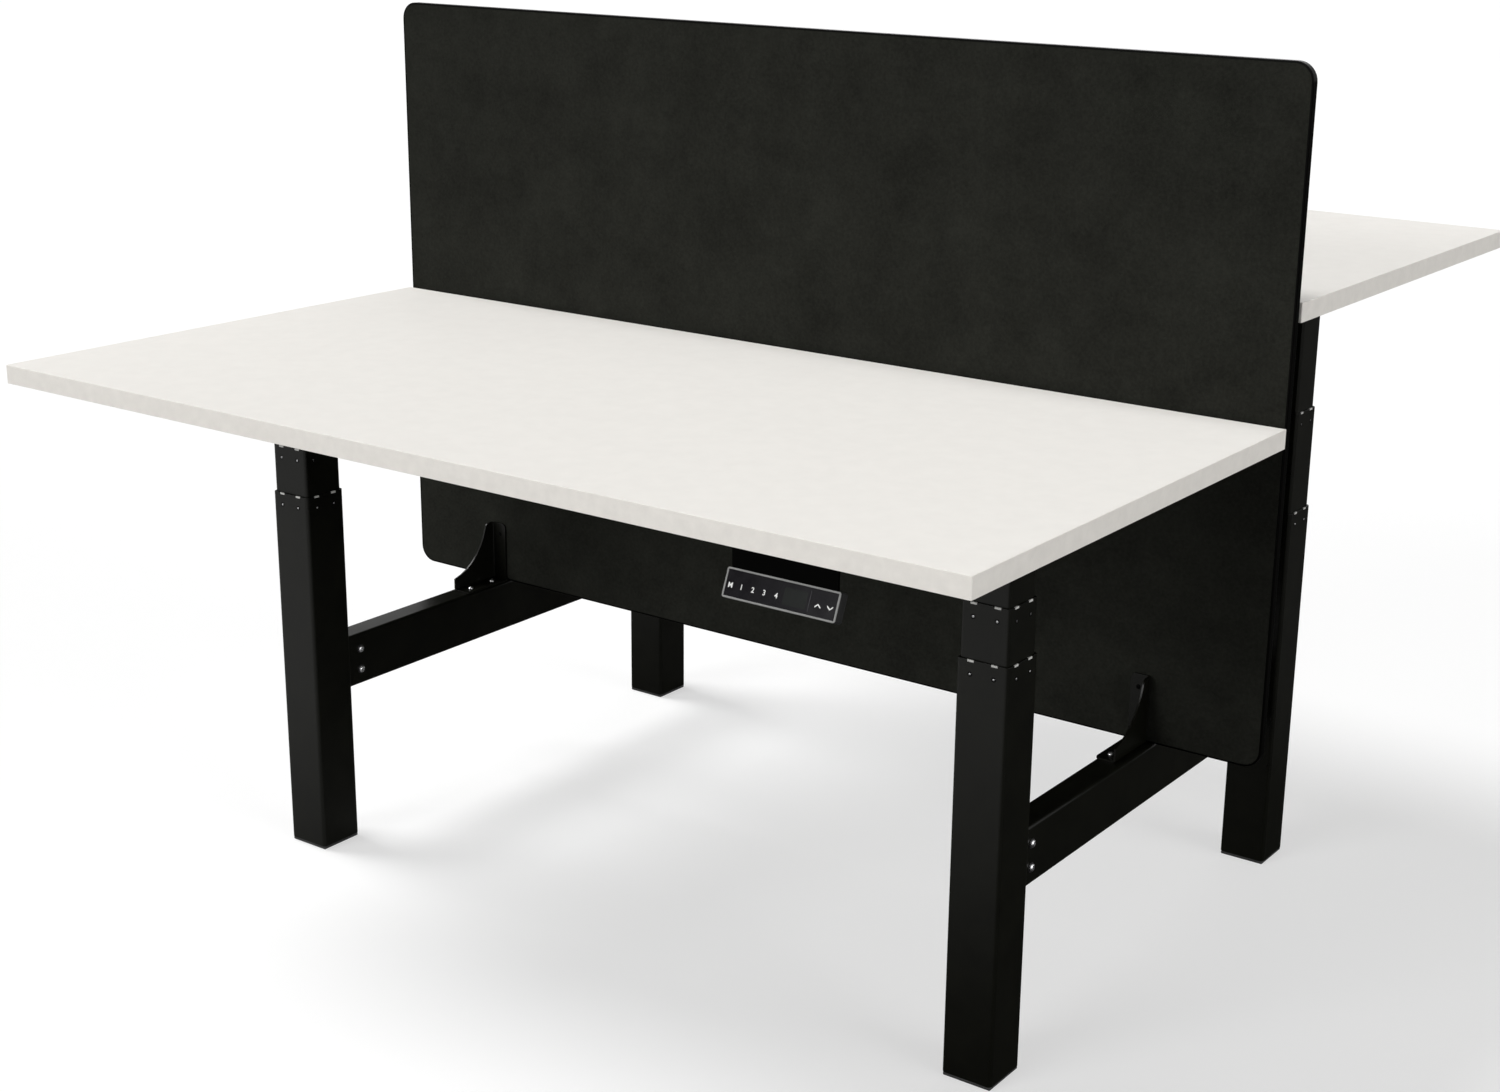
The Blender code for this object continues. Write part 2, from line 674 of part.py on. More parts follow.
def gearbox_mesh():
    """Gearbox block on the column's head, its motor lying towards -X."""
    half = GEARBOX_SIZE / 2
    top = CLOSED_GEARBOX_BOTTOM + GEARBOX_HEIGHT
    block = box((-half, -half, CLOSED_GEARBOX_BOTTOM), (half, half, top), GEARBOX_CORNER, 1)
    axis = CLOSED_GEARBOX_BOTTOM + GEARBOX_HEIGHT / 2
    collar_end = -half - MOTOR_COLLAR_LENGTH
    motor_end = -half - MOTOR_LENGTH
    lengths = (
        (MOTOR_COLLAR_RADIUS, collar_end),
        (MOTOR_RADIUS, motor_end),
        (MOTOR_CAP_RADIUS, motor_end - MOTOR_CAP_LENGTH),
    )
    for radius, end in lengths:
        join(block, cylinder(radius, (0.0, 0.0, axis), (end, 0.0, axis)))
    below = (0.0, 0.0, CLOSED_GEARBOX_BOTTOM - TOUCH_GAP)
    above = (0.0, 0.0, CLOSED_GEARBOX_BOTTOM + SCREW_JOURNAL + TOUCH_GAP)
    cut(block, cylinder(SCREW_RADIUS + TOUCH_GAP, below, above))
    return mesh_of(block)


# Frame under a worktop, drawn for the front half with the worktop's underside at height 0


def worktop_mesh():
    low = (-WORKTOP_WIDTH / 2, -USER_EDGE, 0.0)
    high = (WORKTOP_WIDTH / 2, -WORKTOP_BACK, WORKTOP_THICKNESS)
    return mesh_of(box(low, high, WORKTOP_EDGE_CHAMFER, 1))


def side_arm_mesh():
    """A channel open downwards, tapering to both ends, notched for the motor on its -X side."""
    front = -USER_EDGE + ARM_FRONT_SETBACK
    back = -WORKTOP_BACK - ARM_BACK_SETBACK
    top = -TOUCH_GAP
    outline = [
        (front, top),
        (front, top - ARM_TIP_HEIGHT),
        (-COLUMN_Y - ARM_FULL_HALF, top - ARM_HEIGHT),
        (-COLUMN_Y + ARM_FULL_HALF, top - ARM_HEIGHT),
        (back, top - ARM_TIP_HEIGHT),
        (back, top),
    ]
    half = ARM_WIDTH / 2
    arm = prism([outline], "X", -half, half)
    inside_low = (-half + ARM_WALL, front + ARM_WALL, top - 2 * ARM_HEIGHT)
    inside_high = (half - ARM_WALL, back - ARM_WALL, top - ARM_WALL)
    notch_half = MOTOR_COLLAR_RADIUS + MOTOR_CUTOUT_GAP
    notch_top = top - ARM_WALL - TOUCH_GAP - GEARBOX_HEIGHT / 2 + notch_half
    notch = box(
        (-half - ARM_WALL, -COLUMN_Y - notch_half, top - 2 * ARM_HEIGHT),
        (-half + 2 * ARM_WALL, -COLUMN_Y + notch_half, notch_top),
    )
    cut(arm, box(inside_low, inside_high), notch)
    for inset in ARM_SCREW_INSETS:
        for y in (front + inset, back - inset):
            cut(arm, cylinder(ARM_SCREW_HOLE, (0.0, y, top - 2 * ARM_WALL), (0.0, y, ARM_WALL), HOLE_STEPS))
    return mesh_of(arm)


def cross_rail_mesh():
    """A channel between the side arms, open towards -Y, with a plate at each end."""
    reach = COLUMN_X - ARM_WIDTH / 2 - TOUCH_GAP
    top = -TOUCH_GAP
    bottom = top - RAIL_HEIGHT
    half = RAIL_DEPTH / 2
    outline = [
        (-half, top),
        (-half, top - RAIL_WALL),
        (half - RAIL_WALL, top - RAIL_WALL),
        (half - RAIL_WALL, bottom + RAIL_WALL),
        (-half, bottom + RAIL_WALL),
        (-half, bottom),
        (half, bottom),
        (half, top),
    ]
    rail = prism([outline], "X", -reach + RAIL_END_PLATE / 2, reach - RAIL_END_PLATE / 2)
    for side in (-1, 1):
        plate_outside = (side * reach, -RAIL_END_WIDTH / 2, bottom)
        plate_inside = (side * (reach - RAIL_END_PLATE), RAIL_END_WIDTH / 2, top)
        join(rail, box(plate_outside, plate_inside))
    return mesh_of(rail)


def control_box_mesh():
    """The closed control box with its mounting ears and a row of ports towards -Y."""
    top = -TOUCH_GAP
    half_length = BOX_LENGTH / 2
    half_depth = BOX_DEPTH / 2
    case = box((-half_length, -half_depth, top - BOX_HEIGHT), (half_length, half_depth, top), BOX_CORNER)
    for side in (-1, 1):
        ear_top = top - BOX_EAR_DROP
        ear_root = (side * (half_length - BOX_EAR_LENGTH), -BOX_EAR_WIDTH / 2, ear_top - BOX_EAR_HEIGHT)
        ear_tip = (side * (half_length + BOX_EAR_LENGTH), BOX_EAR_WIDTH / 2, ear_top)
        join(case, box(ear_root, ear_tip))
        hole = side * (half_length + BOX_EAR_LENGTH / 2)
        below, above = (hole, 0.0, top - BOX_HEIGHT), (hole, 0.0, BOX_HEIGHT)
        cut(case, cylinder(BOX_EAR_HOLE, below, above, HOLE_STEPS))
    for port in range(BOX_PORT_COUNT):
        x = (port - (BOX_PORT_COUNT - 1) / 2) * BOX_PORT_PITCH
        middle = top - BOX_HEIGHT / 2
        low = (x - BOX_PORT_WIDTH / 2, -half_depth - BOX_PORT_DEPTH, middle - BOX_PORT_HEIGHT / 2)
        high = (x + BOX_PORT_WIDTH / 2, -half_depth + BOX_PORT_DEPTH, middle + BOX_PORT_HEIGHT / 2)
        cut(case, box(low, high))
    return mesh_of(case)


def handset_place():
    """From the tilted face's own frame, whose origin is the face's centre, to the worktop's frame."""
    rise = HANDSET_FACE / 2 * math.cos(HANDSET_TILT)
    run = HANDSET_FACE / 2 * math.sin(HANDSET_TILT)
    centre = Vector((0.0, -USER_EDGE + HANDSET_SETBACK - run, -HANDSET_DROP - rise))
    return Matrix.Translation(centre) @ Matrix.Rotation(-HANDSET_TILT, 4, "X")


def handset_housing_mesh():
    """The tilted housing with its neck and the flange that screws to the worktop."""
    half = HANDSET_WIDTH / 2
    low = (-half, 0.0, -HANDSET_FACE / 2)
    high = (half, HANDSET_THICKNESS, HANDSET_FACE / 2)
    housing = box(low, high, HANDSET_CORNER)
    recess_low = (low[0] + HANDSET_RIM, -PANEL_THICKNESS, low[2] + HANDSET_RIM)
    recess_high = (high[0] - HANDSET_RIM, PANEL_THICKNESS + TOUCH_GAP, high[2] - HANDSET_RIM)
    cut(housing, box(recess_low, recess_high))
    turn(housing, handset_place())
    neck_front = -USER_EDGE + HANDSET_SETBACK + NECK_SETBACK
    neck_back = neck_front + NECK_THICKNESS
    neck_bottom = -HANDSET_DROP - NECK_SINK
    flange_bottom = -TOUCH_GAP - FLANGE_THICKNESS
    section = [
        (neck_front, neck_bottom),
        (neck_front, -TOUCH_GAP),
        (neck_front + FLANGE_LENGTH, -TOUCH_GAP),
        (neck_front + FLANGE_LENGTH, flange_bottom),
        (neck_back, flange_bottom),
        (neck_back, neck_bottom),
    ]
    neck = prism([section], "X", -NECK_WIDTH / 2, NECK_WIDTH / 2)
    hole_y = neck_front + FLANGE_LENGTH / 2
    for side in (-1, 1):
        x = side * FLANGE_HOLE_SPACING / 2
        cut(neck, cylinder(FLANGE_HOLE, (x, hole_y, 2 * flange_bottom), (x, hole_y, 0.0), HOLE_STEPS))
    return mesh_of(join(housing, neck))


def handset_panel_mesh():
    """The glossy touch panel that lies in the housing's recess."""
    inset = HANDSET_RIM + TOUCH_GAP
    low = (-HANDSET_WIDTH / 2 + inset, 0.0, -HANDSET_FACE / 2 + inset)
    high = (HANDSET_WIDTH / 2 - inset, PANEL_THICKNESS, HANDSET_FACE / 2 - inset)
    return mesh_of(turn(box(low, high), handset_place()))


# Fixed frame between the columns


def side_beam_mesh():
    """A rectangular tube between the front and rear outer tubes."""
    centre = (0.0, BEAM_BOTTOM + BEAM_HEIGHT / 2)
    outline = rounded_rectangle(BEAM_WIDTH, BEAM_HEIGHT, BEAM_CORNER, centre)
    bore = rounded_rectangle(
        BEAM_WIDTH - 2 * BEAM_WALL, BEAM_HEIGHT - 2 * BEAM_WALL, BEAM_CORNER - BEAM_WALL, centre
    )
    tube_face = COLUMN_Y - OUTER_SIZE / 2
    reach = tube_face - TOUCH_GAP
    beam = prism([outline, bore], "Y", -reach, reach)
    for side in (-1, 1):
        cut(beam, *beam_bolt_holes(side * (tube_face - BEAM_BOLT_INSET), BEAM_WIDTH))
    return mesh_of(beam)


def screen_outline(inset):
    centre = (0.0, BEAM_TOP + TOUCH_GAP + SCREEN_HEIGHT / 2)
    width = SCREEN_WIDTH - 2 * inset
    height = SCREEN_HEIGHT - 2 * inset
    return rounded_rectangle(width, height, SCREEN_CORNER - inset, centre)


def screen_panel_mesh():
    half = SCREEN_THICKNESS / 2
    return mesh_of(prism([screen_outline(TRIM_THICKNESS + TOUCH_GAP)], "Y", -half, half))


def screen_trim_mesh():
    half = SCREEN_THICKNESS / 2
    return mesh_of(prism([screen_outline(0.0), screen_outline(TRIM_THICKNESS)], "Y", -half, half))


def bracket_mesh(hand):
    """A pressed bracket on the screen's front face, its web outwards on the side that hand gives."""
    face = -SCREEN_THICKNESS / 2 - TOUCH_GAP
    bottom = BEAM_TOP + TOUCH_GAP
    web = hand * BRACKET_WEB_X
    web_inside = hand * (BRACKET_WEB_X - BRACKET_PLATE)
    foot_edge = hand * (BRACKET_WEB_X - BRACKET_FOOT_WIDTH)
    flange_edge = hand * (BRACKET_WEB_X - BRACKET_FLANGE_WIDTH)
    centre = (face - BRACKET_SWEEP_OUT, bottom + BRACKET_SWEEP_UP)
    sweep = arc(centre, BRACKET_SWEEP_RADIUS, *BRACKET_SWEEP_ANGLES, SWEEP_STEPS)
    tip_centre = (sweep[-1][0] + BRACKET_TIP_RADIUS, sweep[-1][1])
    tip = arc(tip_centre, BRACKET_TIP_RADIUS, 180, 90)
    top = tip[-1][1]
    toe = face - BRACKET_FOOT_LENGTH
    toe_top = (toe, bottom + BRACKET_TOE_HEIGHT)
    outline = [(face, bottom), (toe, bottom), toe_top, *sweep, *tip[1:], (face, top)]
    bracket = prism([outline], "X", *sorted((web, foot_edge)))
    round_edges(bracket, BRACKET_BEND, (((0, web), (1, face)), ((0, web), (2, bottom))))

    beyond = BRACKET_FOOT_LENGTH
    flange_inside = face - BRACKET_PLATE
    foot_inside = bottom + BRACKET_PLATE
    inside = box(
        (web_inside, flange_inside, foot_inside),
        (web_inside - hand * beyond, toe - beyond, top + beyond),
    )
    bends = (((0, web_inside), (1, flange_inside)), ((0, web_inside), (2, foot_inside)))
    round_edges(inside, BRACKET_BEND - BRACKET_PLATE, bends)
    narrowing = box(
        (flange_edge, face - 2 * BRACKET_PLATE, bottom + 2 * BRACKET_PLATE),
        (flange_edge - hand * beyond, face + BRACKET_PLATE, top + beyond),
    )
    upper_corner = corner_trim("Y", (flange_edge, top), (-hand, 1), face - beyond, face + beyond)
    toe_corner = corner_trim("Z", (foot_edge, toe), (-hand, -1), bottom - beyond, foot_inside + TOUCH_GAP)
    cut(bracket, inside, narrowing, upper_corner, toe_corner)

    hole_x = hand * (BRACKET_WEB_X - BRACKET_HOLE_FROM_WEB)
    hole_z = bottom + BRACKET_SCREEN_HOLE_UP
    through = 2 * BRACKET_PLATE
    holes = [((hole_x, face - through, hole_z), (hole_x, face + through, hole_z))]
    for out in BRACKET_FOOT_HOLES:
        y = face - out
        holes.append(((hole_x, y, bottom - through), (hole_x, y, bottom + through)))
    cut(bracket, *(cylinder(BRACKET_HOLE, low, high, HOLE_STEPS) for low, high in holes))
    return mesh_of(bracket)


# Assembly


def extension(height):
    """How far each of a column's two stages stands out at this desk height."""
    return (height - CLOSED_HEIGHT) / 2


def half_side(half_turn, hand):
    """The name of a side as the front user sees it, for a hand in a half's own frame."""
    seen = hand if half_turn == 0.0 else -hand
    return dict(SIDES)[seen]


def add_fixed_frame():
    base = empty("base")
    beam = side_beam_mesh()
    for hand, side in SIDES:
        piece(f"side_beam_{side}", beam, "powder_coat", base, (hand * COLUMN_X, 0.0, 0.0))
    piece("screen_panel", screen_panel_mesh(), "screen_fabric", base)
    piece("screen_edge_trim", screen_trim_mesh(), "edge_trim", base)
    return base


def add_columns(base, stages):
    outer = outer_tube_mesh()
    pad = foot_pad_mesh()
    outer_guide = guide_mesh(OUTER_SIZE, OUTER_CORNER, MIDDLE_SIZE, MIDDLE_CORNER, OUTER_TOP)
    middle = middle_tube_mesh()
    middle_guide = guide_mesh(MIDDLE_SIZE, MIDDLE_CORNER, INNER_SIZE, INNER_CORNER, CLOSED_MIDDLE_TOP)
    hollow = hollow_screw_mesh()
    inner = inner_tube_mesh()
    drive = drive_screw_mesh()
    gearbox = gearbox_mesh()
    for half, _, half_turn in HALVES:
        middle_stage, top_stage = stages[half]
        for hand, _ in SIDES:
            name = f"{half}_{half_side(half_turn, hand)}"
            foot = (hand * COLUMN_X, -COLUMN_Y, 0.0)
            on_floor = Matrix.Rotation(half_turn, 4, "Z") @ Vector(foot)
            piece(f"outer_tube_{name}", outer, "powder_coat", base, on_floor, half_turn)
            piece(f"foot_pad_{name}", pad, "black_nylon", base, on_floor)
            piece(f"outer_guide_{name}", outer_guide, "white_nylon", base, on_floor)
            piece(f"middle_tube_{name}", middle, "powder_coat", middle_stage, foot)
            piece(f"middle_guide_{name}", middle_guide, "white_nylon", middle_stage, foot)
            piece(f"hollow_screw_{name}", hollow, "steel", middle_stage, foot)
            piece(f"inner_tube_{name}", inner, "powder_coat", top_stage, foot)
            piece(f"drive_screw_{name}", drive, "steel", top_stage, foot)
            inwards = 0.0 if hand > 0 else math.pi
            piece(f"motor_gearbox_{name}", gearbox, "motor_housing", top_stage, foot, inwards)


def add_worktops(stages):
    worktop = worktop_mesh()
    arm = side_arm_mesh()
    mirrored_arm = arm.copy()
    mirrored_arm.transform(Matrix.Scale(-1, 4, (1, 0, 0)))
    mirrored_arm.flip_normals()
    rail = cross_rail_mesh()
    control = control_box_mesh()
    housing = handset_housing_mesh()
    panel = handset_panel_mesh()
    underside = CLOSED_UNDERSIDE
    for half, _, half_turn in HALVES:
        top_stage = stages[half][1]
        piece(f"worktop_{half}", worktop, "worktop_laminate", top_stage, (0.0, 0.0, underside))
        for hand, _ in SIDES:
            name = f"side_arm_{half}_{half_side(half_turn, hand)}"
            shape = arm if hand > 0 else mirrored_arm
            piece(name, shape, "powder_coat", top_stage, (hand * COLUMN_X, 0.0, underside))
        for name, out, turned_by in (("outer", -1, math.pi), ("inner", 1, 0.0)):
            place = (0.0, -COLUMN_Y + out * RAIL_OFFSET, underside)
            piece(f"cross_rail_{half}_{name}", rail, "powder_coat", top_stage, place, turned_by)
        place = (BOX_X, -COLUMN_Y, underside)
        piece(f"control_box_{half}", control, "box_plastic", top_stage, place)
        place = (HANDSET_X, 0.0, underside)
        piece(f"handset_housing_{half}", housing, "handset_plastic", top_stage, place)
        piece(f"handset_panel_{half}", panel, "handset_glass", top_stage, place)


def add_brackets(base):
    brackets = {hand: bracket_mesh(hand) for hand, _ in SIDES}
    for half, _, half_turn in HALVES:
        for hand, _ in SIDES:
            name = f"screen_bracket_{half}_{half_side(half_turn, hand)}"
            piece(name, brackets[hand], "powder_coat", base, turned_by=half_turn)


def main():
    base = add_fixed_frame()
    stages = {}
    for half, height, half_turn in HALVES:
        lift = extension(height)
        middle_stage = empty(f"{half}_middle_stage", (0.0, 0.0, lift), half_turn, base)
        top_stage = empty(f"{half}_top_stage", (0.0, 0.0, 2 * lift), half_turn, base)
        stages[half] = (middle_stage, top_stage)
    add_columns(base, stages)
    add_worktops(stages)
    add_brackets(base)


main()
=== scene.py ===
"""Looks of the height-adjustable double desk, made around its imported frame.

Metres, +Z up. The origin is on the floor under the middle of the screen, and the front worktop lies
towards -Y. Each piece takes its place from the frame's nodes. The handset and the sockets are drawn
for the front half and turned for the rear.
"""

import math

import bmesh
import bpy
from mathutils import Matrix, Vector


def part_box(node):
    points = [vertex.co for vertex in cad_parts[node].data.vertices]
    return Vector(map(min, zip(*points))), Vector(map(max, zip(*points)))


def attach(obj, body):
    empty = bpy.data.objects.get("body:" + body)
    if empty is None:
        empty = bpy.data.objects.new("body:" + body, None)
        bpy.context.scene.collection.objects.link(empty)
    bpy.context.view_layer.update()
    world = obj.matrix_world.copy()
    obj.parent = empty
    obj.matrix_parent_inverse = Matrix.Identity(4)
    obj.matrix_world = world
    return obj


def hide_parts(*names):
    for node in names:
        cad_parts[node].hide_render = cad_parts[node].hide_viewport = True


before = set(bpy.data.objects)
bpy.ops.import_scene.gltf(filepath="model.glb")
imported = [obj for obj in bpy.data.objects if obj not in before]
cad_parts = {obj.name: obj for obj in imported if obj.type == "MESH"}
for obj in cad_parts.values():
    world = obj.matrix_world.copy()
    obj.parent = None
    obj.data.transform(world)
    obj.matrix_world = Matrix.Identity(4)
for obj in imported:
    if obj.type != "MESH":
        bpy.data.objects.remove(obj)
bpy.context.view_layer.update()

HALVES = ("front", "rear")
SIDES = ("left", "right")
COLUMNS = [f"{half}_{side}" for half in HALVES for side in SIDES]
HALF_TURN = {"front": Matrix.Identity(4), "rear": Matrix.Rotation(math.pi, 4, "Z")}

# The photograph's camera, with its focal length and centre in pixels
PHOTO_SIZE = (1500, 1092)
FOCAL_PIXELS = 2211.57
OPTICAL_CENTRE = (826.71, 533.53)
SENSOR_WIDTH = 36.0
CAMERA_PLACE = (1.78071, -2.51705, 1.41775)
CAMERA_HEADING = math.radians(34.3698)
CAMERA_PITCH = math.radians(16.6856)
CAMERA_ROLL = math.radians(1.0610)

# Edges and arcs
SOFT_EDGE = 0.0004
FINE_EDGE = 0.0002
FINEST_EDGE = 0.0001
CAP_RIM = 3 * SOFT_EDGE  # from an end's outline to its flat
SMALLEST_CORNER = 0.0001
ARC_STEPS = 8
ROUND_STEPS = 24
SMOOTH_ANGLE = math.radians(40)
FLAT_ANGLE = math.radians(0.5)
WELD_DISTANCE = 1e-5
TINY = 1e-6

# Where nearly all values of a noise texture lie
NOISE_RANGE = (0.3, 0.7)

# Tubes
TUBE_WALL = 0.0015
TUBE_STEP_GAP = 0.001
OUTER_CORNER = 0.0055
MIDDLE_CORNER = 0.0045
INNER_CORNER = 0.0040
OUTER_PLATE = 0.004
HEAD_FLANGE = 0.004
HEAD_BORE = 0.012
BEAM_CORNER = 0.005

# Glide collars, with the lugs that fill the notches of a rim
COLLAR_SEAT = 0.0002
COLLAR_WALL = 0.0005
COLLAR_CORNER = 0.0030
COLLAR_SINK = 0.0020
LUG_WIDTH = 0.009
LUG_HEIGHT = 0.0027
LUG_OFFSET = 0.016
LUG_CORNER = 0.0008
LUG_EDGE = 0.00045
NOTCH_GAP = 0.0003

# Worktops
BAND_THICKNESS = 0.0012
BAND_EDGE = 0.00035
BOARD_RIM = 0.001
WORKTOP_CORNER = 0.0015
SEAM = 0.00005

# Screen
SCREEN_CORNER = 0.025
TRIM_WIDTH = 0.0025
TRIM_ROUND = 0.0018
TRIM_STEPS = 6
FELT_RECESS = 0.0002
FELT_EDGE = 0.0006
FELT_RIM = 0.002

# Handset, with levels out of its face and places from the face's centre
HANDSET_TILT = math.radians(22)
HANDSET_WIDTH = 0.144
HANDSET_FACE = 0.033
HANDSET_CORNER = 0.003
PANEL_THICKNESS = 0.0015
HOUSING_LEVELS = (-0.014, -0.0003)
HOUSING_RIMS = (0.004, 0.002)  # at the back and at the front
HOUSING_EDGE = 0.0024
HOUSING_STEPS = 5
RIM_LEVELS = (-0.0012, 0.0003)
RIM_INSETS = (0.0003, 0.0024)
GLASS_LEVELS = (-0.0010, -0.0001)
GLASS_RIM = 0.00095
RELIEF = 0.00006  # half the thickness of a symbol
RELIEF_EDGE = 0.000015
DIVIDER_LOW = (0.0361, -0.011, -0.0002)
DIVIDER_HIGH = (0.0367, 0.011)
WINDOW_LOW = (0.0040, -0.0095)
WINDOW_HIGH = (0.0330, 0.0085)
WINDOW_CORNER = 0.0008
SYMBOLS = (("M", -0.0636), ("1", -0.0494), ("2", -0.0347), ("3", -0.0202), ("4", -0.0049))
ARROWS = ((0.0474, 1), (0.0623, -1))
SYMBOL_ROW = -0.0025
SYMBOL_HEIGHT = 0.0056
SYMBOL_SWELL = 0.00012
CAPITAL_SHARE = 0.7  # a capital's height in the font's size
ARROW_HALF = 0.0036
ARROW_RISE = 0.0030
ARROW_STROKE = 0.0016

# Handset's neck and the flange that screws under the worktop
NECK_WIDTH = 0.134
NECK_THICKNESS = 0.003
NECK_SETBACK = 0.0116
NECK_DROP = 0.034
NECK_EDGE = 0.001
FLANGE_LENGTH = 0.032
FLANGE_THICKNESS = 0.0025
FLANGE_SCREW_OFFSET = 0.045

# Rivets of the rims
RIVET_RADIUS = 0.0017
RIVET_ANGLES = (0.0, 0.4, 0.8, 1.2, 1.45)
RIVET_RISE = {"outer": 0.55, "middle": 0.13}  # height of the head in radii
RIVET_DROP = 0.0175
# Thin near-black rings under the rivets' heads, which paint the shade round them
SHADE_RING_RADII = (0.0030, 0.98 * RIVET_RADIUS)
SHADE_RING_LEVELS = (-0.0001, 0.0002)

# Screw heads: radius, height and recess
BEAM_BOLT = (0.0052, 0.0032, "hex")
BRACKET_BOLT = (0.0044, 0.0026, "hex")
BRACKET_SCREW = (0.0030, 0.0008, "cross")
HANDSET_SCREW = (0.0036, 0.0020, "cross")
MOTOR_SCREW = (0.0016, 0.0011, "cross")
ARM_SCREW = (0.0052, 0.0026, "cross")
ARM_BOLT = (0.0050, 0.0030, "hex")
RAIL_BOLT = (0.0045, 0.0028, "hex")
BOX_SCREW = (0.0042, 0.0022, "cross")
HEAD_SINK = 0.0002

# Shapes of heads and recesses, in shares of a head's radius and height or its recess's radius
HEAD_PROFILE = ((0.96, 0.0), (1.0, 0.12), (0.97, 0.4), (0.86, 0.75), (0.66, 0.95))
RECESS_RADIUS = {"hex": 0.42, "cross": 0.55}
RECESS_LIP = 1.12
HEX_FLOOR = 0.35
CROSS_FLOOR = 0.4
CROSS_TAPER = 0.7
CROSS_WAISTS = (0.28, 0.22)

# Turns of recesses, in radians, and in radians for each metre along a row
BRACKET_SCREW_SPIN = 0.3
HANDSET_SCREW_SPIN = 0.4
BRACKET_BOLT_SPIN = 100
ARM_SCREW_SPIN = 9

# Side beams' bolts and washers
BEAM_BOLT_INSET = 0.033
BEAM_BOLT_SPACING = 0.032
WASHER_RADII = (0.0068, 0.00312)
WASHER_THICKNESS = 0.0008

# Screen brackets
BRACKET_PLATE = 0.0025
BRACKET_FOOT_HOLES = (0.024, 0.072)
BRACKET_HOLE_FROM_WEB = 0.0165
BRACKET_SCREEN_HOLE_UP = 0.076

# Motors and gearboxes
GEARBOX_CORNER = 0.004
GEARBOX_EDGE = 0.0008
GEARBOX_SEAM_SHARE = 0.62  # of the height, from below
GEARBOX_SEAM_HALF = 0.0004
GASKET_INSET = 0.001
GASKET_HALF = 0.0006
MOTOR_RADIUS = 0.021
MOTOR_LENGTH = 0.085
MOTOR_COLLAR_RADIUS = 0.0225
MOTOR_COLLAR_LENGTH = 0.006
MOTOR_CAP_RADIUS = 0.017
MOTOR_CAP_LENGTH = 0.014
MOTOR_END_RADIUS = 0.004
MOTOR_SINK = 0.002
MOTOR_EDGE = 0.0012

# Frame under a worktop
TOUCH_GAP = 0.0003
ARM_WALL = 0.0025
ARM_SCREW_INSETS = (0.025, 0.135)
ARM_BOLT_OFFSET = 0.027
ARM_BOLT_DROP = 0.020
RAIL_END_PLATE = 0.003
RAIL_BOLT_OFFSET = 0.016
BOX_EAR_UNDERSIDE = 0.005  # below the case's top
BOX_SCREW_INSET = 0.009
PORT_COUNT = 4
PORT_PITCH = 0.030
SOCKET_HALF = (0.0065, 0.0048)
SOCKET_DEPTHS = (0.004, 0.0099)  # behind the case's face
SOCKET_CORNER = 0.0006
PIN_COUNT = 4
PIN_PITCH = 0.0028
PIN_HALF = (0.0005, 0.0008)
PIN_DEPTHS = (0.001, 0.0045)
PIN_CORNER = 0.0002

# Nodes kept from the frame, with their material and the radius of their edges
KEPT = {
    "foot_pad": ("black_nylon", 0.0005),
    "hollow_screw": ("zinc", 0.0),
    "drive_screw": ("zinc", 0.0),
    "side_arm": ("powder_coat", 0.0006),
    "cross_rail": ("powder_coat", 0.0005),
    "screen_bracket": ("powder_coat", 0.0006),
    "control_box": ("box", 0.0),
}

# Studio. A lamp has the light that it throws on faces that look along each axis, and its spread.
LAMPS = {
    "key": ((-0.42, -0.07, 0.64), 25.0),
    "front fill": ((-0.14, -0.46, 0.14), 35.0),
    "right fill": ((0.57, -0.02, 0.10), 40.0),
    "back": ((-0.06, 0.24, 0.01), 45.0),
}
WORLD_LIGHT = 0.12
WORLD_TINT = (1.0, 0.995, 0.985)
FLOOR_HALF = 60.0
FLOOR_LIGHTING = 0.40
FLOOR_SEEN = (0.48, 0.54)  # brightness and glow
FLOOR_MIRRORED = (0.92, 0.08)  # painted shade: brightness of the floor in reflections at its light end and at its dark end
FLOOR_MIRRORED_GLOW = 0.01
# Direction and range of the painted shade that darkens the floor in reflections
FALL_DIRECTION = (0.5, 0.85, 0.0)
FALL_RANGE = (-1.5, 0.0)


# Places read from the frame


def centre_of(node):
    low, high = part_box(node)
    return (low + high) / 2


def column_axis(column):
    middle = centre_of(f"foot_pad_{column}")
    return Vector((middle.x, middle.y, 0.0))


def half_of(column):
    return column.split("_")[0]


# Materials


def new_material(name, colour, roughness, metallic=0.0, specular=0.5):
    material = bpy.data.materials.new(name)
    material.use_nodes = True
    shader = shader_of(material)
    set_inputs(shader, {"Base Color": (*colour, 1.0), "Roughness": roughness})
    set_inputs(shader, {"Metallic": metallic, "Specular IOR Level": specular})
    return material


def shader_of(material):
    return material.node_tree.nodes["Principled BSDF"]


def set_inputs(node, values):
    for name, value in values.items():
        node.inputs[name].default_value = value


def texture(material, kind, values):
    """A texture node over object coordinates, which are the desk's own metres."""
    tree = material.node_tree
    node = tree.nodes.new(kind)
    set_inputs(node, values)
    place = tree.nodes.new("ShaderNodeTexCoord")
    tree.links.new(place.outputs["Object"], node.inputs["Vector"])
    return node


def noise(material, scale, detail=3.0, roughness=0.5):
    values = {"Scale": scale, "Detail": detail, "Roughness": roughness}
    return texture(material, "ShaderNodeTexNoise", values).outputs["Fac"]


def waves(material, scale, direction, distortion):
    node = texture(material, "ShaderNodeTexWave", {"Scale": scale, "Distortion": distortion})
    node.bands_direction = direction
    return node.outputs["Fac"]


def arithmetic(tree, operation, first, second):
    """A sum, product or maximum of two sockets, or of a socket and a number."""
    node = tree.nodes.new("ShaderNodeMath")
    node.operation = operation
    for socket, value in zip(node.inputs, (first, second)):
        if isinstance(value, float):
            socket.default_value = value
        else:
            tree.links.new(value, socket)
    return node.outputs["Value"]


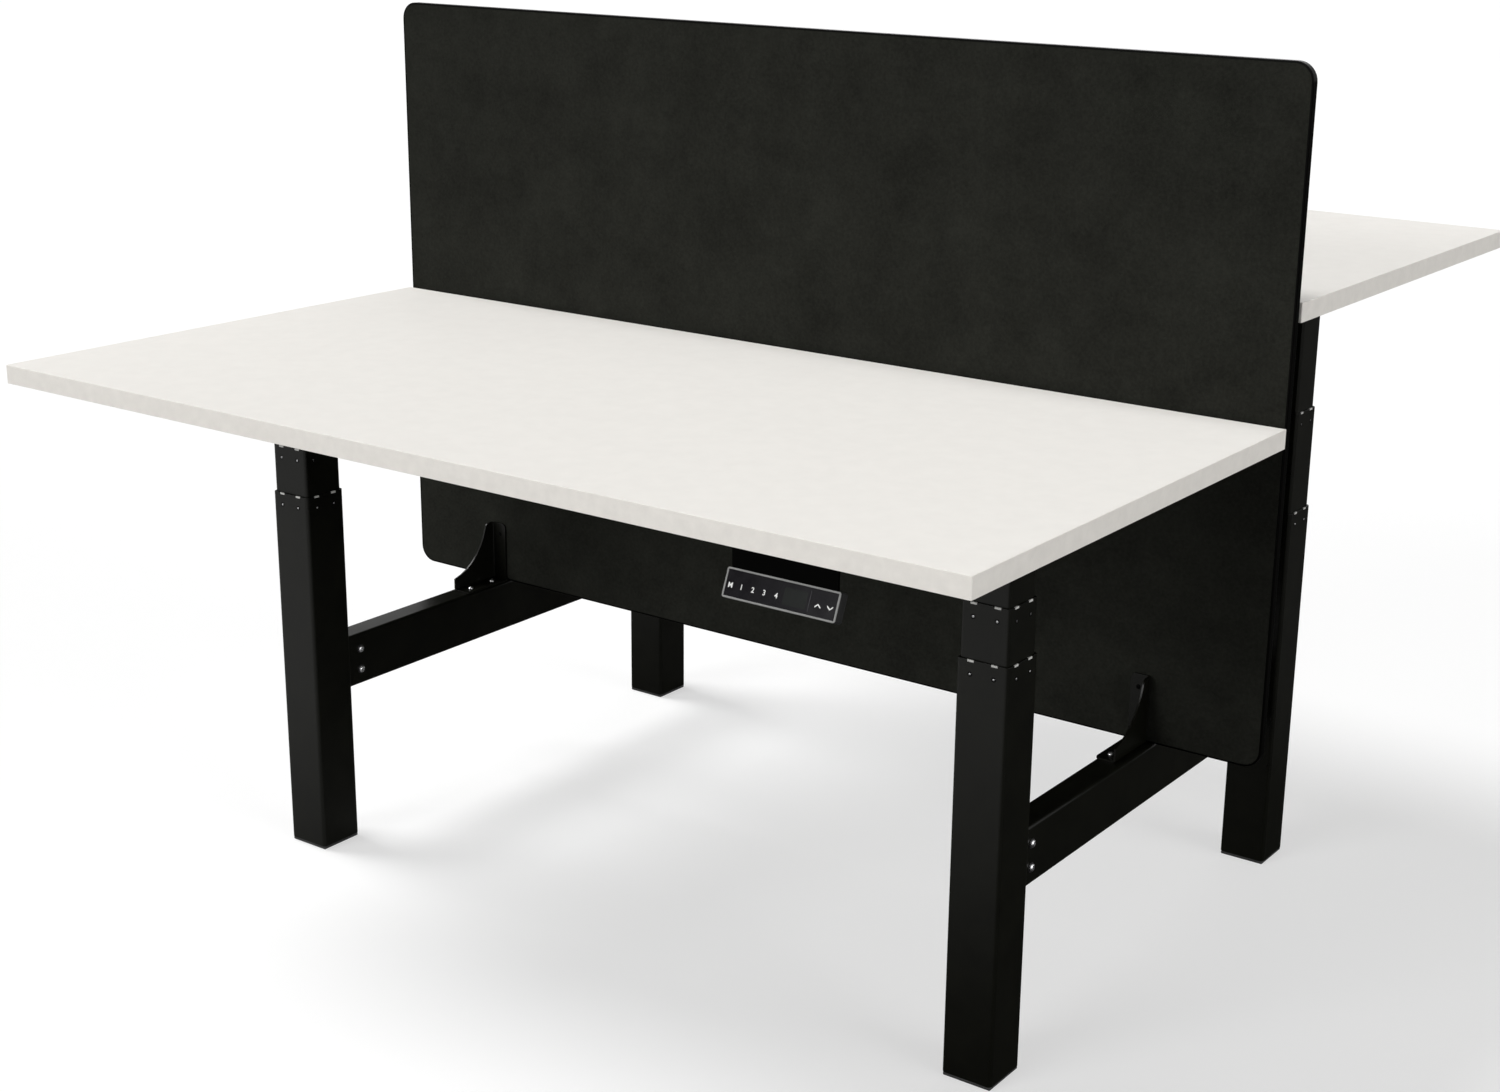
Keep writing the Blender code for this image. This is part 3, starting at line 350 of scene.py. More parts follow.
def spread(tree, value, start, end, low, high):
    """A value between start and end mapped to the range from low to high."""
    node = tree.nodes.new("ShaderNodeMapRange")
    set_inputs(node, {"From Min": start, "From Max": end, "To Min": low, "To Max": high})
    tree.links.new(value, node.inputs["Value"])
    return node


def shade(colour, factor):
    return tuple(channel * factor for channel in colour)


def vary_colour(material, value, colour, darkest, lightest, between=NOISE_RANGE):
    """A colour times a factor, from the darkest to the lightest between two values."""
    tree = material.node_tree
    node = tree.nodes.new("ShaderNodeValToRGB")
    for element, position, factor in zip(node.color_ramp.elements, between, (darkest, lightest)):
        element.position = position
        element.color = (*shade(colour, factor), 1.0)
    tree.links.new(value, node.inputs["Fac"])
    tree.links.new(node.outputs["Color"], shader_of(material).inputs["Base Color"])


def vary_roughness(material, low, high, scale, detail=3.0):
    tree = material.node_tree
    node = spread(tree, noise(material, scale, detail), *NOISE_RANGE, low, high)
    tree.links.new(node.outputs["Result"], shader_of(material).inputs["Roughness"])


def add_bump(material, value, depth, strength):
    """Relief of a real depth in metres, laid over any relief that is there already."""
    tree = material.node_tree
    node = tree.nodes.new("ShaderNodeBump")
    set_inputs(node, {"Distance": depth, "Strength": strength})
    tree.links.new(value, node.inputs["Height"])
    normal = shader_of(material).inputs["Normal"]
    if normal.is_linked:
        tree.links.new(normal.links[0].from_socket, node.inputs["Normal"])
    tree.links.new(node.outputs["Normal"], normal)


def add_grain(material, scale, depth, strength, detail=2.0):
    add_bump(material, noise(material, scale, detail), depth, strength)


def add_coat(material, weight, roughness):
    """A satin film over the colour, which follows the same relief."""
    shader = shader_of(material)
    set_inputs(shader, {"Coat Weight": weight, "Coat Roughness": roughness, "Coat IOR": 1.5})
    relief = shader.inputs["Normal"].links[0].from_socket
    material.node_tree.links.new(relief, shader.inputs["Coat Normal"])


def powder_coat():
    """Satin black powder coat: fine orange peel, faint clouding and a few handled patches."""
    black = (0.0031, 0.0032, 0.0020)
    material = new_material("powder_coat_black", black, roughness=0.45, specular=0.02)
    vary_colour(material, noise(material, scale=22.0), black, 0.80, 1.30)
    vary_roughness(material, low=0.38, high=0.52, scale=9.0, detail=4.0)
    add_grain(material, scale=900.0, depth=0.00005, strength=0.35)
    add_grain(material, scale=260.0, depth=0.00008, strength=0.25)
    add_coat(material, weight=0.30, roughness=0.27)
    return material


def worktop_laminate():
    """Warm white melamine with a faint pearl grain."""
    white = (0.850, 0.828, 0.790)
    material = new_material("worktop_laminate", white, roughness=0.50, specular=0.006)
    vary_colour(material, noise(material, scale=45.0, detail=5.0), white, 0.985, 1.012)
    vary_roughness(material, low=0.46, high=0.56, scale=30.0)
    add_grain(material, scale=1400.0, depth=0.00003, strength=0.25)
    return material


def edge_band():
    """The matching edge band, a little greyer, with the light mottling of the photographed edge."""
    white = (0.830, 0.800, 0.752)
    material = new_material("worktop_edge_band", white, roughness=0.45, specular=0.40)
    vary_colour(material, noise(material, scale=70.0, detail=5.0), white, 0.95, 1.02)
    add_grain(material, scale=700.0, depth=0.00004, strength=0.3)
    return material


def screen_fabric():
    """Charcoal acoustic felt: a fine woven grain, cloudy tone and a soft sheen."""
    charcoal = (0.0146, 0.0151, 0.0124)
    material = new_material("screen_fabric", charcoal, roughness=0.92, specular=0.03)
    tree = material.node_tree
    clouds = noise(material, scale=9.0, detail=6.0, roughness=0.72)
    grain = noise(material, scale=260.0, detail=4.0, roughness=0.65)
    cloud_share = arithmetic(tree, "MULTIPLY", clouds, 0.55)
    grain_share = arithmetic(tree, "MULTIPLY", grain, 0.45)
    tone = arithmetic(tree, "ADD", cloud_share, grain_share)
    vary_colour(material, tone, charcoal, 0.66, 1.40, between=(0.36, 0.64))
    threads = [waves(material, scale=260.0, direction=axis, distortion=1.2) for axis in ("X", "Z")]
    add_bump(material, arithmetic(tree, "MAXIMUM", *threads), depth=0.00018, strength=0.35)
    add_grain(material, scale=900.0, depth=0.00022, strength=0.5, detail=3.0)
    sheen = {"Sheen Weight": 0.06, "Sheen Roughness": 0.6, "Sheen Tint": (0.34, 0.35, 0.31, 1.0)}
    set_inputs(shader_of(material), sheen)
    return material


def moulded(name, colour, roughness, specular=0.4, grain=700.0, depth=0.00005):
    """A moulded plastic with a fine spark-eroded grain and a slightly uneven tone."""
    material = new_material(name, colour, roughness, specular=specular)
    vary_colour(material, noise(material, scale=35.0), colour, 0.9, 1.1)
    vary_roughness(material, roughness - 0.05, roughness + 0.06, scale=50.0, detail=2.0)
    add_grain(material, grain, depth, strength=0.4)
    return material


def zinc_steel(name, brightness):
    """Zinc-plated steel with fine turning marks."""
    zinc = shade((1.0, 1.0, 1.01), brightness)
    material = new_material(name, zinc, roughness=0.26, metallic=1.0)
    vary_colour(material, noise(material, scale=400.0), zinc, 0.86, 1.06)
    vary_roughness(material, low=0.20, high=0.36, scale=250.0)
    add_grain(material, scale=1500.0, depth=0.00002, strength=0.3)
    return material


def black_oxide():
    """Blackened steel screws."""
    material = new_material("black_oxide_steel", (0.030, 0.029, 0.030), roughness=0.36, metallic=0.6)
    vary_roughness(material, low=0.30, high=0.46, scale=300.0)
    add_grain(material, scale=1200.0, depth=0.00002, strength=0.3)
    return material


def cast_alloy():
    """Painted die-cast housing with a sandy skin."""
    grey = (0.035, 0.035, 0.036)
    material = new_material("cast_alloy_painted", grey, roughness=0.52, specular=0.35)
    cells = texture(material, "ShaderNodeTexVoronoi", {"Scale": 260.0}).outputs["Distance"]
    vary_colour(material, cells, grey, 0.8, 1.2, between=(0.0, 0.7))
    add_grain(material, scale=480.0, depth=0.00012, strength=0.5, detail=4.0)
    return material


def touch_glass():
    """The handset's glossy black touch panel, faintly marked by fingers."""
    black = (0.0056, 0.0050, 0.0064)
    material = new_material("handset_touch_glass", black, roughness=0.10, specular=0.04)
    vary_roughness(material, low=0.06, high=0.20, scale=60.0, detail=4.0)
    vary_colour(material, noise(material, scale=90.0, detail=2.0), black, 0.9, 1.15)
    return material


def glossy_trim():
    """The screen's black plastic edge, with a hard shine on its rounded corners."""
    black = (0.0009, 0.0009, 0.0007)
    material = new_material("screen_edge_trim", black, roughness=0.30, specular=0.01)
    vary_colour(material, noise(material, scale=60.0), black, 0.8, 1.3)
    add_grain(material, scale=500.0, depth=0.00002, strength=0.3)
    add_coat(material, weight=0.05, roughness=0.16)
    return material


def lit_print():
    """White back-lit symbols behind the touch panel."""
    material = new_material("handset_symbols", (0.58, 0.58, 0.57), roughness=0.45, specular=0.1)
    glow = {"Emission Color": (1.0, 1.0, 0.98, 1.0), "Emission Strength": 0.16}
    set_inputs(shader_of(material), glow)
    vary_roughness(material, low=0.4, high=0.5, scale=500.0)
    return material


MATERIALS = {
    "powder_coat": powder_coat(),
    "laminate": worktop_laminate(),
    "edge_band": edge_band(),
    "fabric": screen_fabric(),
    "trim": glossy_trim(),
    "white_nylon": moulded("white_nylon", (0.56, 0.56, 0.54), 0.42, specular=0.2),
    "black_nylon": moulded("black_nylon", (0.016, 0.016, 0.016), 0.58),
    "zinc": zinc_steel("zinc_steel", brightness=0.66),
    "rivet": zinc_steel("rivet_steel", brightness=0.26),
    "black_steel": black_oxide(),
    # Blackened steel of the bracket screw, and the near-black of the rings that paint shade round the
    # rivets
    "dark_steel_and_shade": moulded("blackened_steel_and_painted_shade", (0.0022, 0.0022, 0.0022), 0.55, 0.02, 1200.0, 0.00002),
    "cast": cast_alloy(),
    "motor": moulded("motor_can_paint", (0.014, 0.014, 0.015), 0.40),
    "box": moulded("control_box_plastic", (0.020, 0.020, 0.021), 0.55, 0.35, 520.0, 0.0001),
    "socket": moulded("connector_plastic", (0.32, 0.32, 0.31), 0.45),
    "handset": moulded("handset_plastic", (0.022, 0.022, 0.022), 0.46, specular=0.06),
    # A real rim, coloured pale grey to paint the highlight along its edges
    "rim": moulded("handset_rim_painted_highlight", (0.20, 0.20, 0.195), 0.36, specular=0.25),
    "glass": touch_glass(),
    "window": moulded("handset_display_window", (0.0040, 0.0052, 0.0045), 0.18, 0.06, 900.0, 0.00001),
    "neck": moulded("handset_neck_plastic", (0.0007, 0.0007, 0.0006), 0.55, specular=0.01),
    "divider": moulded("handset_divider", (0.050, 0.048, 0.053), 0.40, specular=0.06),
    "print": lit_print(),
}


# Shapes. An outline is the width, height and corner radius of a rounded rectangle.


def rounded(width, height, radius):
    """A rounded rectangle about the origin, anticlockwise, as (x, y) points."""
    points = []
    for quarter, (sign_x, sign_y) in enumerate(((1, 1), (-1, 1), (-1, -1), (1, -1))):
        for step in range(ARC_STEPS + 1):
            angle = math.pi / 2 * (quarter + step / ARC_STEPS)
            x = sign_x * (width / 2 - radius) + radius * math.cos(angle)
            y = sign_y * (height / 2 - radius) + radius * math.sin(angle)
            points.append((x, y))
    return points


def softened(profile, radius, closed=False, steps=3):
    """A profile whose corners are rounded, with about the given distance taken from each side."""
    count = len(profile)
    points = []
    for index in range(count):
        corner = Vector(profile[index])
        if not closed and index in (0, count - 1):
            points.append(tuple(corner))
            continue
        before = Vector(profile[index - 1]) - corner
        after = Vector(profile[(index + 1) % count]) - corner
        start = corner + before.normalized() * min(radius, before.length / 2)
        end = corner + after.normalized() * min(radius, after.length / 2)
        for step in range(steps + 1):
            t = step / steps
            points.append(tuple(start * (1 - t) ** 2 + corner * 2 * t * (1 - t) + end * t ** 2))
    return points


def skin(solid, rings, closed=False):
    """A surface through rings of as many points each, capped at its ends or closed on itself."""
    loops = [[solid.verts.new(point) for point in ring] for ring in rings]
    pairs = list(zip(loops, loops[1:]))
    if closed:
        pairs.append((loops[-1], loops[0]))
    for first, second in pairs:
        for index in range(len(first)):
            after = (index + 1) % len(first)
            solid.faces.new((first[index], first[after], second[after], second[index]))
    if not closed:
        solid.faces.new(list(reversed(loops[0])))
        solid.faces.new(loops[-1])


def inset_rings(outline, profile, place):
    """Rings of an outline for a profile of (inset, distance along the third axis)."""
    width, height, corner = outline
    rings = []
    for inset, along in profile:
        ring = rounded(width - 2 * inset, height - 2 * inset, max(corner - inset, SMALLEST_CORNER))
        rings.append([place @ Vector((x, y, along)) for x, y in ring])
    return rings


def slab(solid, outline, levels, rim, edge, place, inset=0.0):
    """A solid between two levels, whose flats end a rim's width inside its outline."""
    low, high = levels
    section = [(inset + rim, low), (inset, low), (inset, high), (inset + rim, high)]
    skin(solid, inset_rings(outline, softened(section, edge), place))


def hoop_section(outside, inside, levels):
    low, high = levels
    return [(outside, low), (outside, high), (inside, high), (inside, low)]


def hoop(solid, outline, levels, insets, edge, place, steps=3):
    """An open wall between two levels and two insets from its outline."""
    profile = softened(hoop_section(*insets, levels), edge, closed=True, steps=steps)
    skin(solid, inset_rings(outline, profile, place), closed=True)


def block(solid, low, high, corner, place, edge):
    """A box with round upright corners and softened top and bottom edges."""
    low, high = Vector(low), Vector(high)
    size = high - low
    middle = place @ Matrix.Translation((low + high) / 2)
    slab(solid, (size.x, size.y, corner), (-size.z / 2, size.z / 2), edge * 2, edge, middle)


def polar(radius, angle, height):
    return Vector((radius * math.cos(angle), radius * math.sin(angle), height))


def circle(radius, height, steps=ROUND_STEPS):
    return [polar(radius, 2 * math.pi * step / steps, height) for step in range(steps)]


def turned(solid, profile, place, steps=ROUND_STEPS, closed=False):
    """A profile of (radius, height) turned about the place's Z axis."""
    rings = [[place @ point for point in circle(radius, height, steps)] for radius, height in profile]
    skin(solid, rings, closed)


def turned_ring(solid, radii, levels, edge, place):
    """A flat ring between two radii, the outer one first."""
    profile = softened(hoop_section(*radii, levels), edge, closed=True, steps=2)
    turned(solid, profile, place, closed=True)


def star(radius, height, sides, waist=None):
    """A polygon ring, or with a waist a cross, with as many points as a circle."""
    points = []
    sector = 2 * math.pi / sides
    for step in range(ROUND_STEPS):
        angle = 2 * math.pi * step / ROUND_STEPS
        off = (angle + sector / 2) % sector - sector / 2
        if waist is None:
            reach = radius * math.cos(sector / 2) / math.cos(sector / 2 - abs(off))
        else:
            reach = min(radius / math.cos(off), waist / max(abs(math.sin(off)), TINY))
        points.append(polar(reach, angle, height))
    return points


def facing(point, direction, spin=0.0):
    """A place at a point whose +Z looks along a direction, turned about it by a spin."""
    turn = Vector(direction).to_track_quat("Z", "Y").to_matrix().to_4x4()
    return Matrix.Translation(point) @ turn @ Matrix.Rotation(spin, 4, "Z")


def rivet(solid, place, rise):
    """A rivet's round head, with its rise given in radii."""
    section = [(RIVET_RADIUS, -HEAD_SINK)]
    for angle in RIVET_ANGLES:
        section.append((RIVET_RADIUS * math.cos(angle), RIVET_RADIUS * rise * math.sin(angle)))
    turned(solid, section, place)


def screw_head(solid, place, radius, height, recess):
    """A domed head with a hexagon socket or a cross recess, seated just into the surface."""
    socket = radius * RECESS_RADIUS[recess]
    rings = [circle(radius, -HEAD_SINK)]
    rings += [circle(radius * across, height * up) for across, up in HEAD_PROFILE]
    rings.append(circle(socket * RECESS_LIP, height))
    if recess == "hex":
        rings += [star(socket, height, 6), star(socket, height * HEX_FLOOR, 6)]
    else:
        top, floor = (socket * waist for waist in CROSS_WAISTS)
        rings += [star(socket, height, 4, top), star(socket * CROSS_TAPER, height * CROSS_FLOOR, 4, floor)]
    skin(solid, [[place @ point for point in ring] for ring in rings])


# Pieces


def modify(made, kind, **settings):
    modifier = made.modifiers.new(kind, kind)
    for name, value in settings.items():
        setattr(modifier, name, value)


def keep_faces_flat(made):
    """Leaves the turn of the shading to the small rounded edges."""
    made.data.set_sharp_from_angle(angle=SMOOTH_ANGLE)
    modify(made, "WEIGHTED_NORMAL", keep_sharp=True)


def new_object(name, data):
    made = bpy.data.objects.new(name, data)
    bpy.context.scene.collection.objects.link(made)
    return made


def object_of(name, solid):
    """The object of a drawn solid, with its faces looking out."""
    mesh = bpy.data.meshes.new(name)
    bmesh.ops.recalc_face_normals(solid, faces=solid.faces)
    solid.to_mesh(mesh)
    solid.free()
    return new_object(name, mesh)


def publish(name, solid, material, body, slot, *replaced):
    """The finished piece, which rides on a body and may stand for frame nodes."""
    made = object_of(name, solid)
    made.data.materials.append(MATERIALS[material])
    made.data.shade_smooth()
    keep_faces_flat(made)
    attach(made, body)
    if replaced:
        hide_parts(*replaced)
    return made


def evaluated_mesh(made):
    graph = bpy.context.evaluated_depsgraph_get()
    return bpy.data.meshes.new_from_object(made.evaluated_get(graph))


def carve(made, cutter_solid):
    """Cuts a shape out of a piece."""
    cutter = object_of("cutter", cutter_solid)
    made.modifiers.clear()
    modify(made, "BOOLEAN", operation="DIFFERENCE", solver="EXACT", object=cutter)
    made.data = evaluated_mesh(made)
    made.data.name = made.name
    made.modifiers.clear()
    keep_faces_flat(made)
    bpy.data.objects.remove(cutter, do_unlink=True)


def rim_notches(axis, size, rim):
    """The slots of a rim that its glide collar's lugs sit in."""
    notches = bmesh.new()
    half = LUG_WIDTH / 2 + NOTCH_GAP
    for side in (-1, 1):
        for turn in (0.0, math.pi / 2):
            place = Matrix.Translation(axis) @ Matrix.Rotation(turn, 4, "Z")
            low = Vector((-size, side * LUG_OFFSET - half, rim - LUG_HEIGHT - NOTCH_GAP))
            high = Vector((size, side * LUG_OFFSET + half, rim + LUG_HEIGHT))
            matrix = place @ Matrix.Translation((low + high) / 2) @ Matrix.Diagonal((*(high - low), 1.0))
            bmesh.ops.create_cube(notches, size=1.0, matrix=matrix)
    return notches


def add_collar(name, axis, size, rim, body, node):
    """A white glide collar sunk below its rim, with eight lugs that fill the rim's notches."""
    outer = size - 2 * (TUBE_WALL + COLLAR_SEAT)
    collar = bmesh.new()
    levels = (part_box(node)[0].z, rim - COLLAR_SINK)
    outline = (outer, outer, COLLAR_CORNER)
    upright = Matrix.Translation((axis.x, axis.y, 0.0))
    hoop(collar, outline, levels, (0.0, COLLAR_WALL), COLLAR_WALL / 4, upright, steps=2)
    inner = outer / 2 - COLLAR_WALL
    lug = Vector((LUG_WIDTH / 2, (size / 2 - inner) / 2, LUG_HEIGHT / 2))
    for quarter in range(4):
        turn = upright @ Matrix.Rotation(quarter * math.pi / 2, 4, "Z")
        for side in (-1, 1):
            centre = Vector((side * LUG_OFFSET, -(inner + size / 2) / 2, rim - LUG_HEIGHT / 2))
            block(collar, centre - lug, centre + lug, LUG_CORNER, turn, LUG_EDGE)
    publish(name, collar, "white_nylon", body, "white_nylon", node)


def rim_rivets(stage, column, axis, size, rim, body):
    """Eight rivets round a rim, each on a thin near-black ring that paints the shade round its head. Those
    of the middle tube are flat enough to pass the outer collar.
    """
    rivets, rings = bmesh.new(), bmesh.new()
    for quarter in range(4):
        turn = Matrix.Rotation(quarter * math.pi / 2, 4, "Z")
        out = turn @ Vector((0.0, -1.0, 0.0))
        for side in (-1, 1):
            point = axis + turn @ Vector((side * LUG_OFFSET, -size / 2, rim - RIVET_DROP))
            place = facing(point, out)
            rivet(rivets, place, RIVET_RISE[stage])
            # a thin near-black ring under the head, as painted shade
            turned_ring(rings, SHADE_RING_RADII, SHADE_RING_LEVELS, FINEST_EDGE, place)
    publish(f"{stage}_rim_rivets_{column}", rivets, "rivet", body, "steel")
    publish(f"{stage}_rim_rivet_shade_rings_{column}", rings, "dark_steel_and_shade", body, "steel")


def outer_tube(solid, axis, size, low, high):
    """The bottom tube, closed by its floor plate."""
    section = [(CAP_RIM, low), (0.0, low), (0.0, high), (TUBE_WALL, high), (TUBE_WALL, low + OUTER_PLATE)]
    outline = (size, size, OUTER_CORNER)
    skin(solid, inset_rings(outline, softened(section, SOFT_EDGE), Matrix.Translation(axis)))


def open_tube(solid, axis, size, low, high, corner=MIDDLE_CORNER):
    """A square tube with softened ends."""
    hoop(solid, (size, size, corner), (low, high), (0.0, TUBE_WALL), SOFT_EDGE, Matrix.Translation(axis))


def add_stage(stage, column, axis, body, draw):
    """The outer or middle tube of a column, with its notched rim, glide collar and rivets."""
    tube, guide = f"{stage}_tube_{column}", f"{stage}_guide_{column}"
    low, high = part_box(guide)
    size = high.x - low.x
    solid = bmesh.new()
    draw(solid, axis, size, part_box(tube)[0].z, high.z)
    made = publish(f"{stage}_column_{column}", solid, "powder_coat", body, "powder_coat", tube)
    carve(made, rim_notches(axis, size, high.z))
    add_collar(f"{stage}_collar_{column}", axis, size, high.z, body, guide)
    rim_rivets(stage, column, axis, size, high.z, body)
    return size


def add_column(column):
    """The three tubes of one column. The top one ends in the flange under its gearbox."""
    half = half_of(column)
    axis = column_axis(column)
    node = f"inner_tube_{column}"
    add_stage("outer", column, axis, "base", outer_tube)
    middle_size = add_stage("middle", column, axis, f"{half}_middle", open_tube)
    low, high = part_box(node)
    plate_size = high.x - low.x
    plate_bottom = high.z - HEAD_FLANGE
    inner = bmesh.new()
    size = middle_size - 2 * (TUBE_WALL + TUBE_STEP_GAP)
    open_tube(inner, axis, size, low.z, plate_bottom, INNER_CORNER)
    section = hoop_section(0.0, plate_size / 2 - HEAD_BORE, (plate_bottom, high.z))
    plate = softened(section, SOFT_EDGE, closed=True)
    skin(inner, flange_rings(plate_size, plate, axis), closed=True)
    publish(f"inner_column_{column}", inner, "powder_coat", f"{half}_top", "powder_coat", node)


def flange_rings(size, profile, axis):
    """Rings that pass from a square plate's outline to its round bore."""
    rings = []
    bore_inset = size / 2 - HEAD_BORE
    for inset, z in profile:
        if inset < bore_inset / 2:
            ring = [Vector((x, y, z)) for x, y in rounded(size - 2 * inset, size - 2 * inset, INNER_CORNER)]
        else:
            around = (math.atan2(y, x) for x, y in rounded(size, size, INNER_CORNER))
            ring = [polar(size / 2 - inset, angle, z) for angle in around]
        rings.append([axis + point for point in ring])
    return rings


def add_side_beam(side):
    """The beam between two outer tubes and its through bolts."""
    node = f"side_beam_{side}"
    low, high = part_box(node)
    size = high - low
    lying = Matrix.Translation((low + high) / 2) @ Matrix.Rotation(math.pi / 2, 4, "X")
    beam = bmesh.new()
    outline = (size.x, size.z, BEAM_CORNER)
    slab(beam, outline, (-size.y / 2, size.y / 2), CAP_RIM, SOFT_EDGE, lying)
    publish(f"beam_tube_{side}", beam, "powder_coat", "base", "powder_coat", node)
    heads, washers = bmesh.new(), bmesh.new()
    middle = (low.z + high.z) / 2
    for face, out in ((low.x, -1), (high.x, 1)):
        for end in (low.y + BEAM_BOLT_INSET, high.y - BEAM_BOLT_INSET):
            for level in (-1, 1):
                point = (face, end, middle + level * BEAM_BOLT_SPACING / 2)
                place = facing(point, (out, 0.0, 0.0), spin=end + level)
                turned_ring(washers, WASHER_RADII, (0.0, WASHER_THICKNESS), FINE_EDGE, place)
                seat = place @ Matrix.Translation((0.0, 0.0, WASHER_THICKNESS))
                screw_head(heads, seat, *BEAM_BOLT)
    publish(f"beam_bolts_{side}", heads, "zinc", "base", "steel")
    publish(f"beam_washers_{side}", washers, "black_steel", "base", "steel")


def add_worktop(half):
    """A melamine board with its edge band laid round it."""
    node = f"worktop_{half}"
    low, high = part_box(node)
    size = high - low
    place = Matrix.Translation((low + high) / 2)
    levels = (-size.z / 2, size.z / 2)
    outline = (size.x, size.y, WORKTOP_CORNER)
    board = bmesh.new()
    slab(board, outline, levels, BOARD_RIM, FINE_EDGE, place, inset=BAND_THICKNESS + SEAM)
    publish(f"worktop_board_{half}", board, "laminate", f"{half}_top", "worktop_laminate", node)
    band = bmesh.new()
    hoop(band, outline, levels, (0.0, BAND_THICKNESS), BAND_EDGE, place)
    publish(f"worktop_edge_band_{half}", band, "edge_band", f"{half}_top", "worktop_laminate")


def add_screen():
    """The felt-covered panel in its glossy edge trim."""
    low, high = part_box("screen_edge_trim")
    size = high - low
    lying = Matrix.Translation((low + high) / 2) @ Matrix.Rotation(math.pi / 2, 4, "X")
    half = size.y / 2
    face = half - FELT_RECESS
    outline = (size.x, size.z, SCREEN_CORNER)
    panel = bmesh.new()
    slab(panel, outline, (-face, face), FELT_RIM, FELT_EDGE, lying, inset=TRIM_WIDTH + SEAM)
    publish("screen_felt_panel", panel, "fabric", "base", "screen_fabric", "screen_panel")
    trim = bmesh.new()
    section = [(TRIM_WIDTH, -half), (0.0, -half), (0.0, half), (TRIM_WIDTH, half)]
    profile = softened(section, TRIM_ROUND, steps=TRIM_STEPS)
    skin(trim, inset_rings(outline, profile, lying), closed=True)
    publish("screen_trim_strip", trim, "trim", "base", "edge_trim", "screen_edge_trim")


def add_bracket_screws(column):
    """Foot bolts and the screen screw of one bracket."""
    low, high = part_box(f"screen_bracket_{column}")
    out = 1 if high.x > 0 else -1
    front = -1 if half_of(column) == "front" else 1
    web = high.x if out > 0 else low.x
    x = web - out * BRACKET_HOLE_FROM_WEB
    screen_face = high.y if front < 0 else low.y
    bolts = bmesh.new()
    for distance in BRACKET_FOOT_HOLES:
        point = (x, screen_face + front * distance, low.z + BRACKET_PLATE)
        screw_head(bolts, facing(point, (0, 0, 1), spin=distance * BRACKET_BOLT_SPIN), *BRACKET_BOLT)
    publish(f"bracket_bolts_{column}", bolts, "zinc", "base", "steel")
    screws = bmesh.new()
    point = (x, screen_face + front * BRACKET_PLATE, low.z + BRACKET_SCREEN_HOLE_UP)
    screw_head(screws, facing(point, (0, front, 0), BRACKET_SCREW_SPIN), *BRACKET_SCREW)
    publish(f"bracket_screw_{column}", screws, "dark_steel_and_shade", "base", "steel")


def handset_place(half):
    """From the tilted face's own frame, +X to its right and +Z out of it, to the desk's frame."""
    centre = centre_of(f"handset_panel_{half}")
    tilt = Matrix.Rotation(-HANDSET_TILT, 4, "X")
    face = Matrix.Translation((0, -PANEL_THICKNESS / 2, 0))
    outwards = Matrix.Rotation(math.pi / 2, 4, "X")
    return Matrix.Translation(centre) @ HALF_TURN[half] @ tilt @ face @ outwards


def add_handset(half):
    """The handset: housing with its neck, a pale rim whose colour paints the highlight along the face's
    edges, touch glass and symbols.
    """
    place = handset_place(half)
    body = f"{half}_top"
    outline = (HANDSET_WIDTH, HANDSET_FACE, HANDSET_CORNER)
    housing = bmesh.new()
    (back, front), (back_rim, front_rim) = HOUSING_LEVELS, HOUSING_RIMS
    section = [(back_rim, back), (0.0, back), (0.0, front), (front_rim, front)]
    profile = softened(section, HOUSING_EDGE, steps=HOUSING_STEPS)
    skin(housing, inset_rings(outline, profile, place))
    publish(f"handset_body_{half}", housing, "handset", body, "handset_plastic", f"handset_housing_{half}")
    add_neck(half, body)
    # The rim is pale grey: its colour paints the highlight along the face's edges.
    rim = bmesh.new()
    hoop(rim, outline, RIM_LEVELS, RIM_INSETS, SOFT_EDGE, place)
    publish(f"handset_rim_painted_highlight_{half}", rim, "rim", body, "handset_plastic")
    divider = bmesh.new()
    high = (*DIVIDER_HIGH, GLASS_LEVELS[1] + RELIEF)
    block(divider, DIVIDER_LOW, high, SMALLEST_CORNER, place, RELIEF_EDGE)
    publish(f"handset_divider_{half}", divider, "divider", body, "handset_glass")
    glass = bmesh.new()
    slab(glass, outline, GLASS_LEVELS, GLASS_RIM, FINE_EDGE, place, inset=RIM_INSETS[1] + SEAM)
    publish(f"handset_glass_{half}", glass, "glass", body, "handset_glass", f"handset_panel_{half}")
    add_symbols(half, place, body)


def add_neck(half, body):
    """The bent black plate from the housing to the flange that screws under the worktop."""
    low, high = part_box(f"handset_housing_{half}")
    middle = (low.x + high.x) / 2
    edge, inwards = (low.y, 1) if half == "front" else (high.y, -1)
    root = edge + inwards * NECK_SETBACK
    neck_back = root + inwards * NECK_THICKNESS
    flange_end = root + inwards * FLANGE_LENGTH
    top = high.z
    flange_bottom = top - FLANGE_THICKNESS
    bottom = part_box(f"worktop_{half}")[0].z - NECK_DROP
    section = [(root, bottom), (root, top), (flange_end, top), (flange_end, flange_bottom)]
    section += [(neck_back, flange_bottom), (neck_back, bottom)]
    profile = softened(section, NECK_EDGE, closed=True)
    ends = [middle + side * NECK_WIDTH / 2 for side in (-1, 1)]
    neck = bmesh.new()
    skin(neck, [[Vector((x, y, z)) for y, z in profile] for x in ends])
    publish(f"handset_neck_{half}", neck, "neck", body, "handset_plastic")
    screws = bmesh.new()
    hole = (root + flange_end) / 2
    for side in (-1, 1):
        point = (middle + side * FLANGE_SCREW_OFFSET, hole, flange_bottom)
        screw_head(screws, facing(point, (0, 0, -1), side * HANDSET_SCREW_SPIN), *HANDSET_SCREW)
    publish(f"handset_screws_{half}", screws, "zinc", body, "steel")


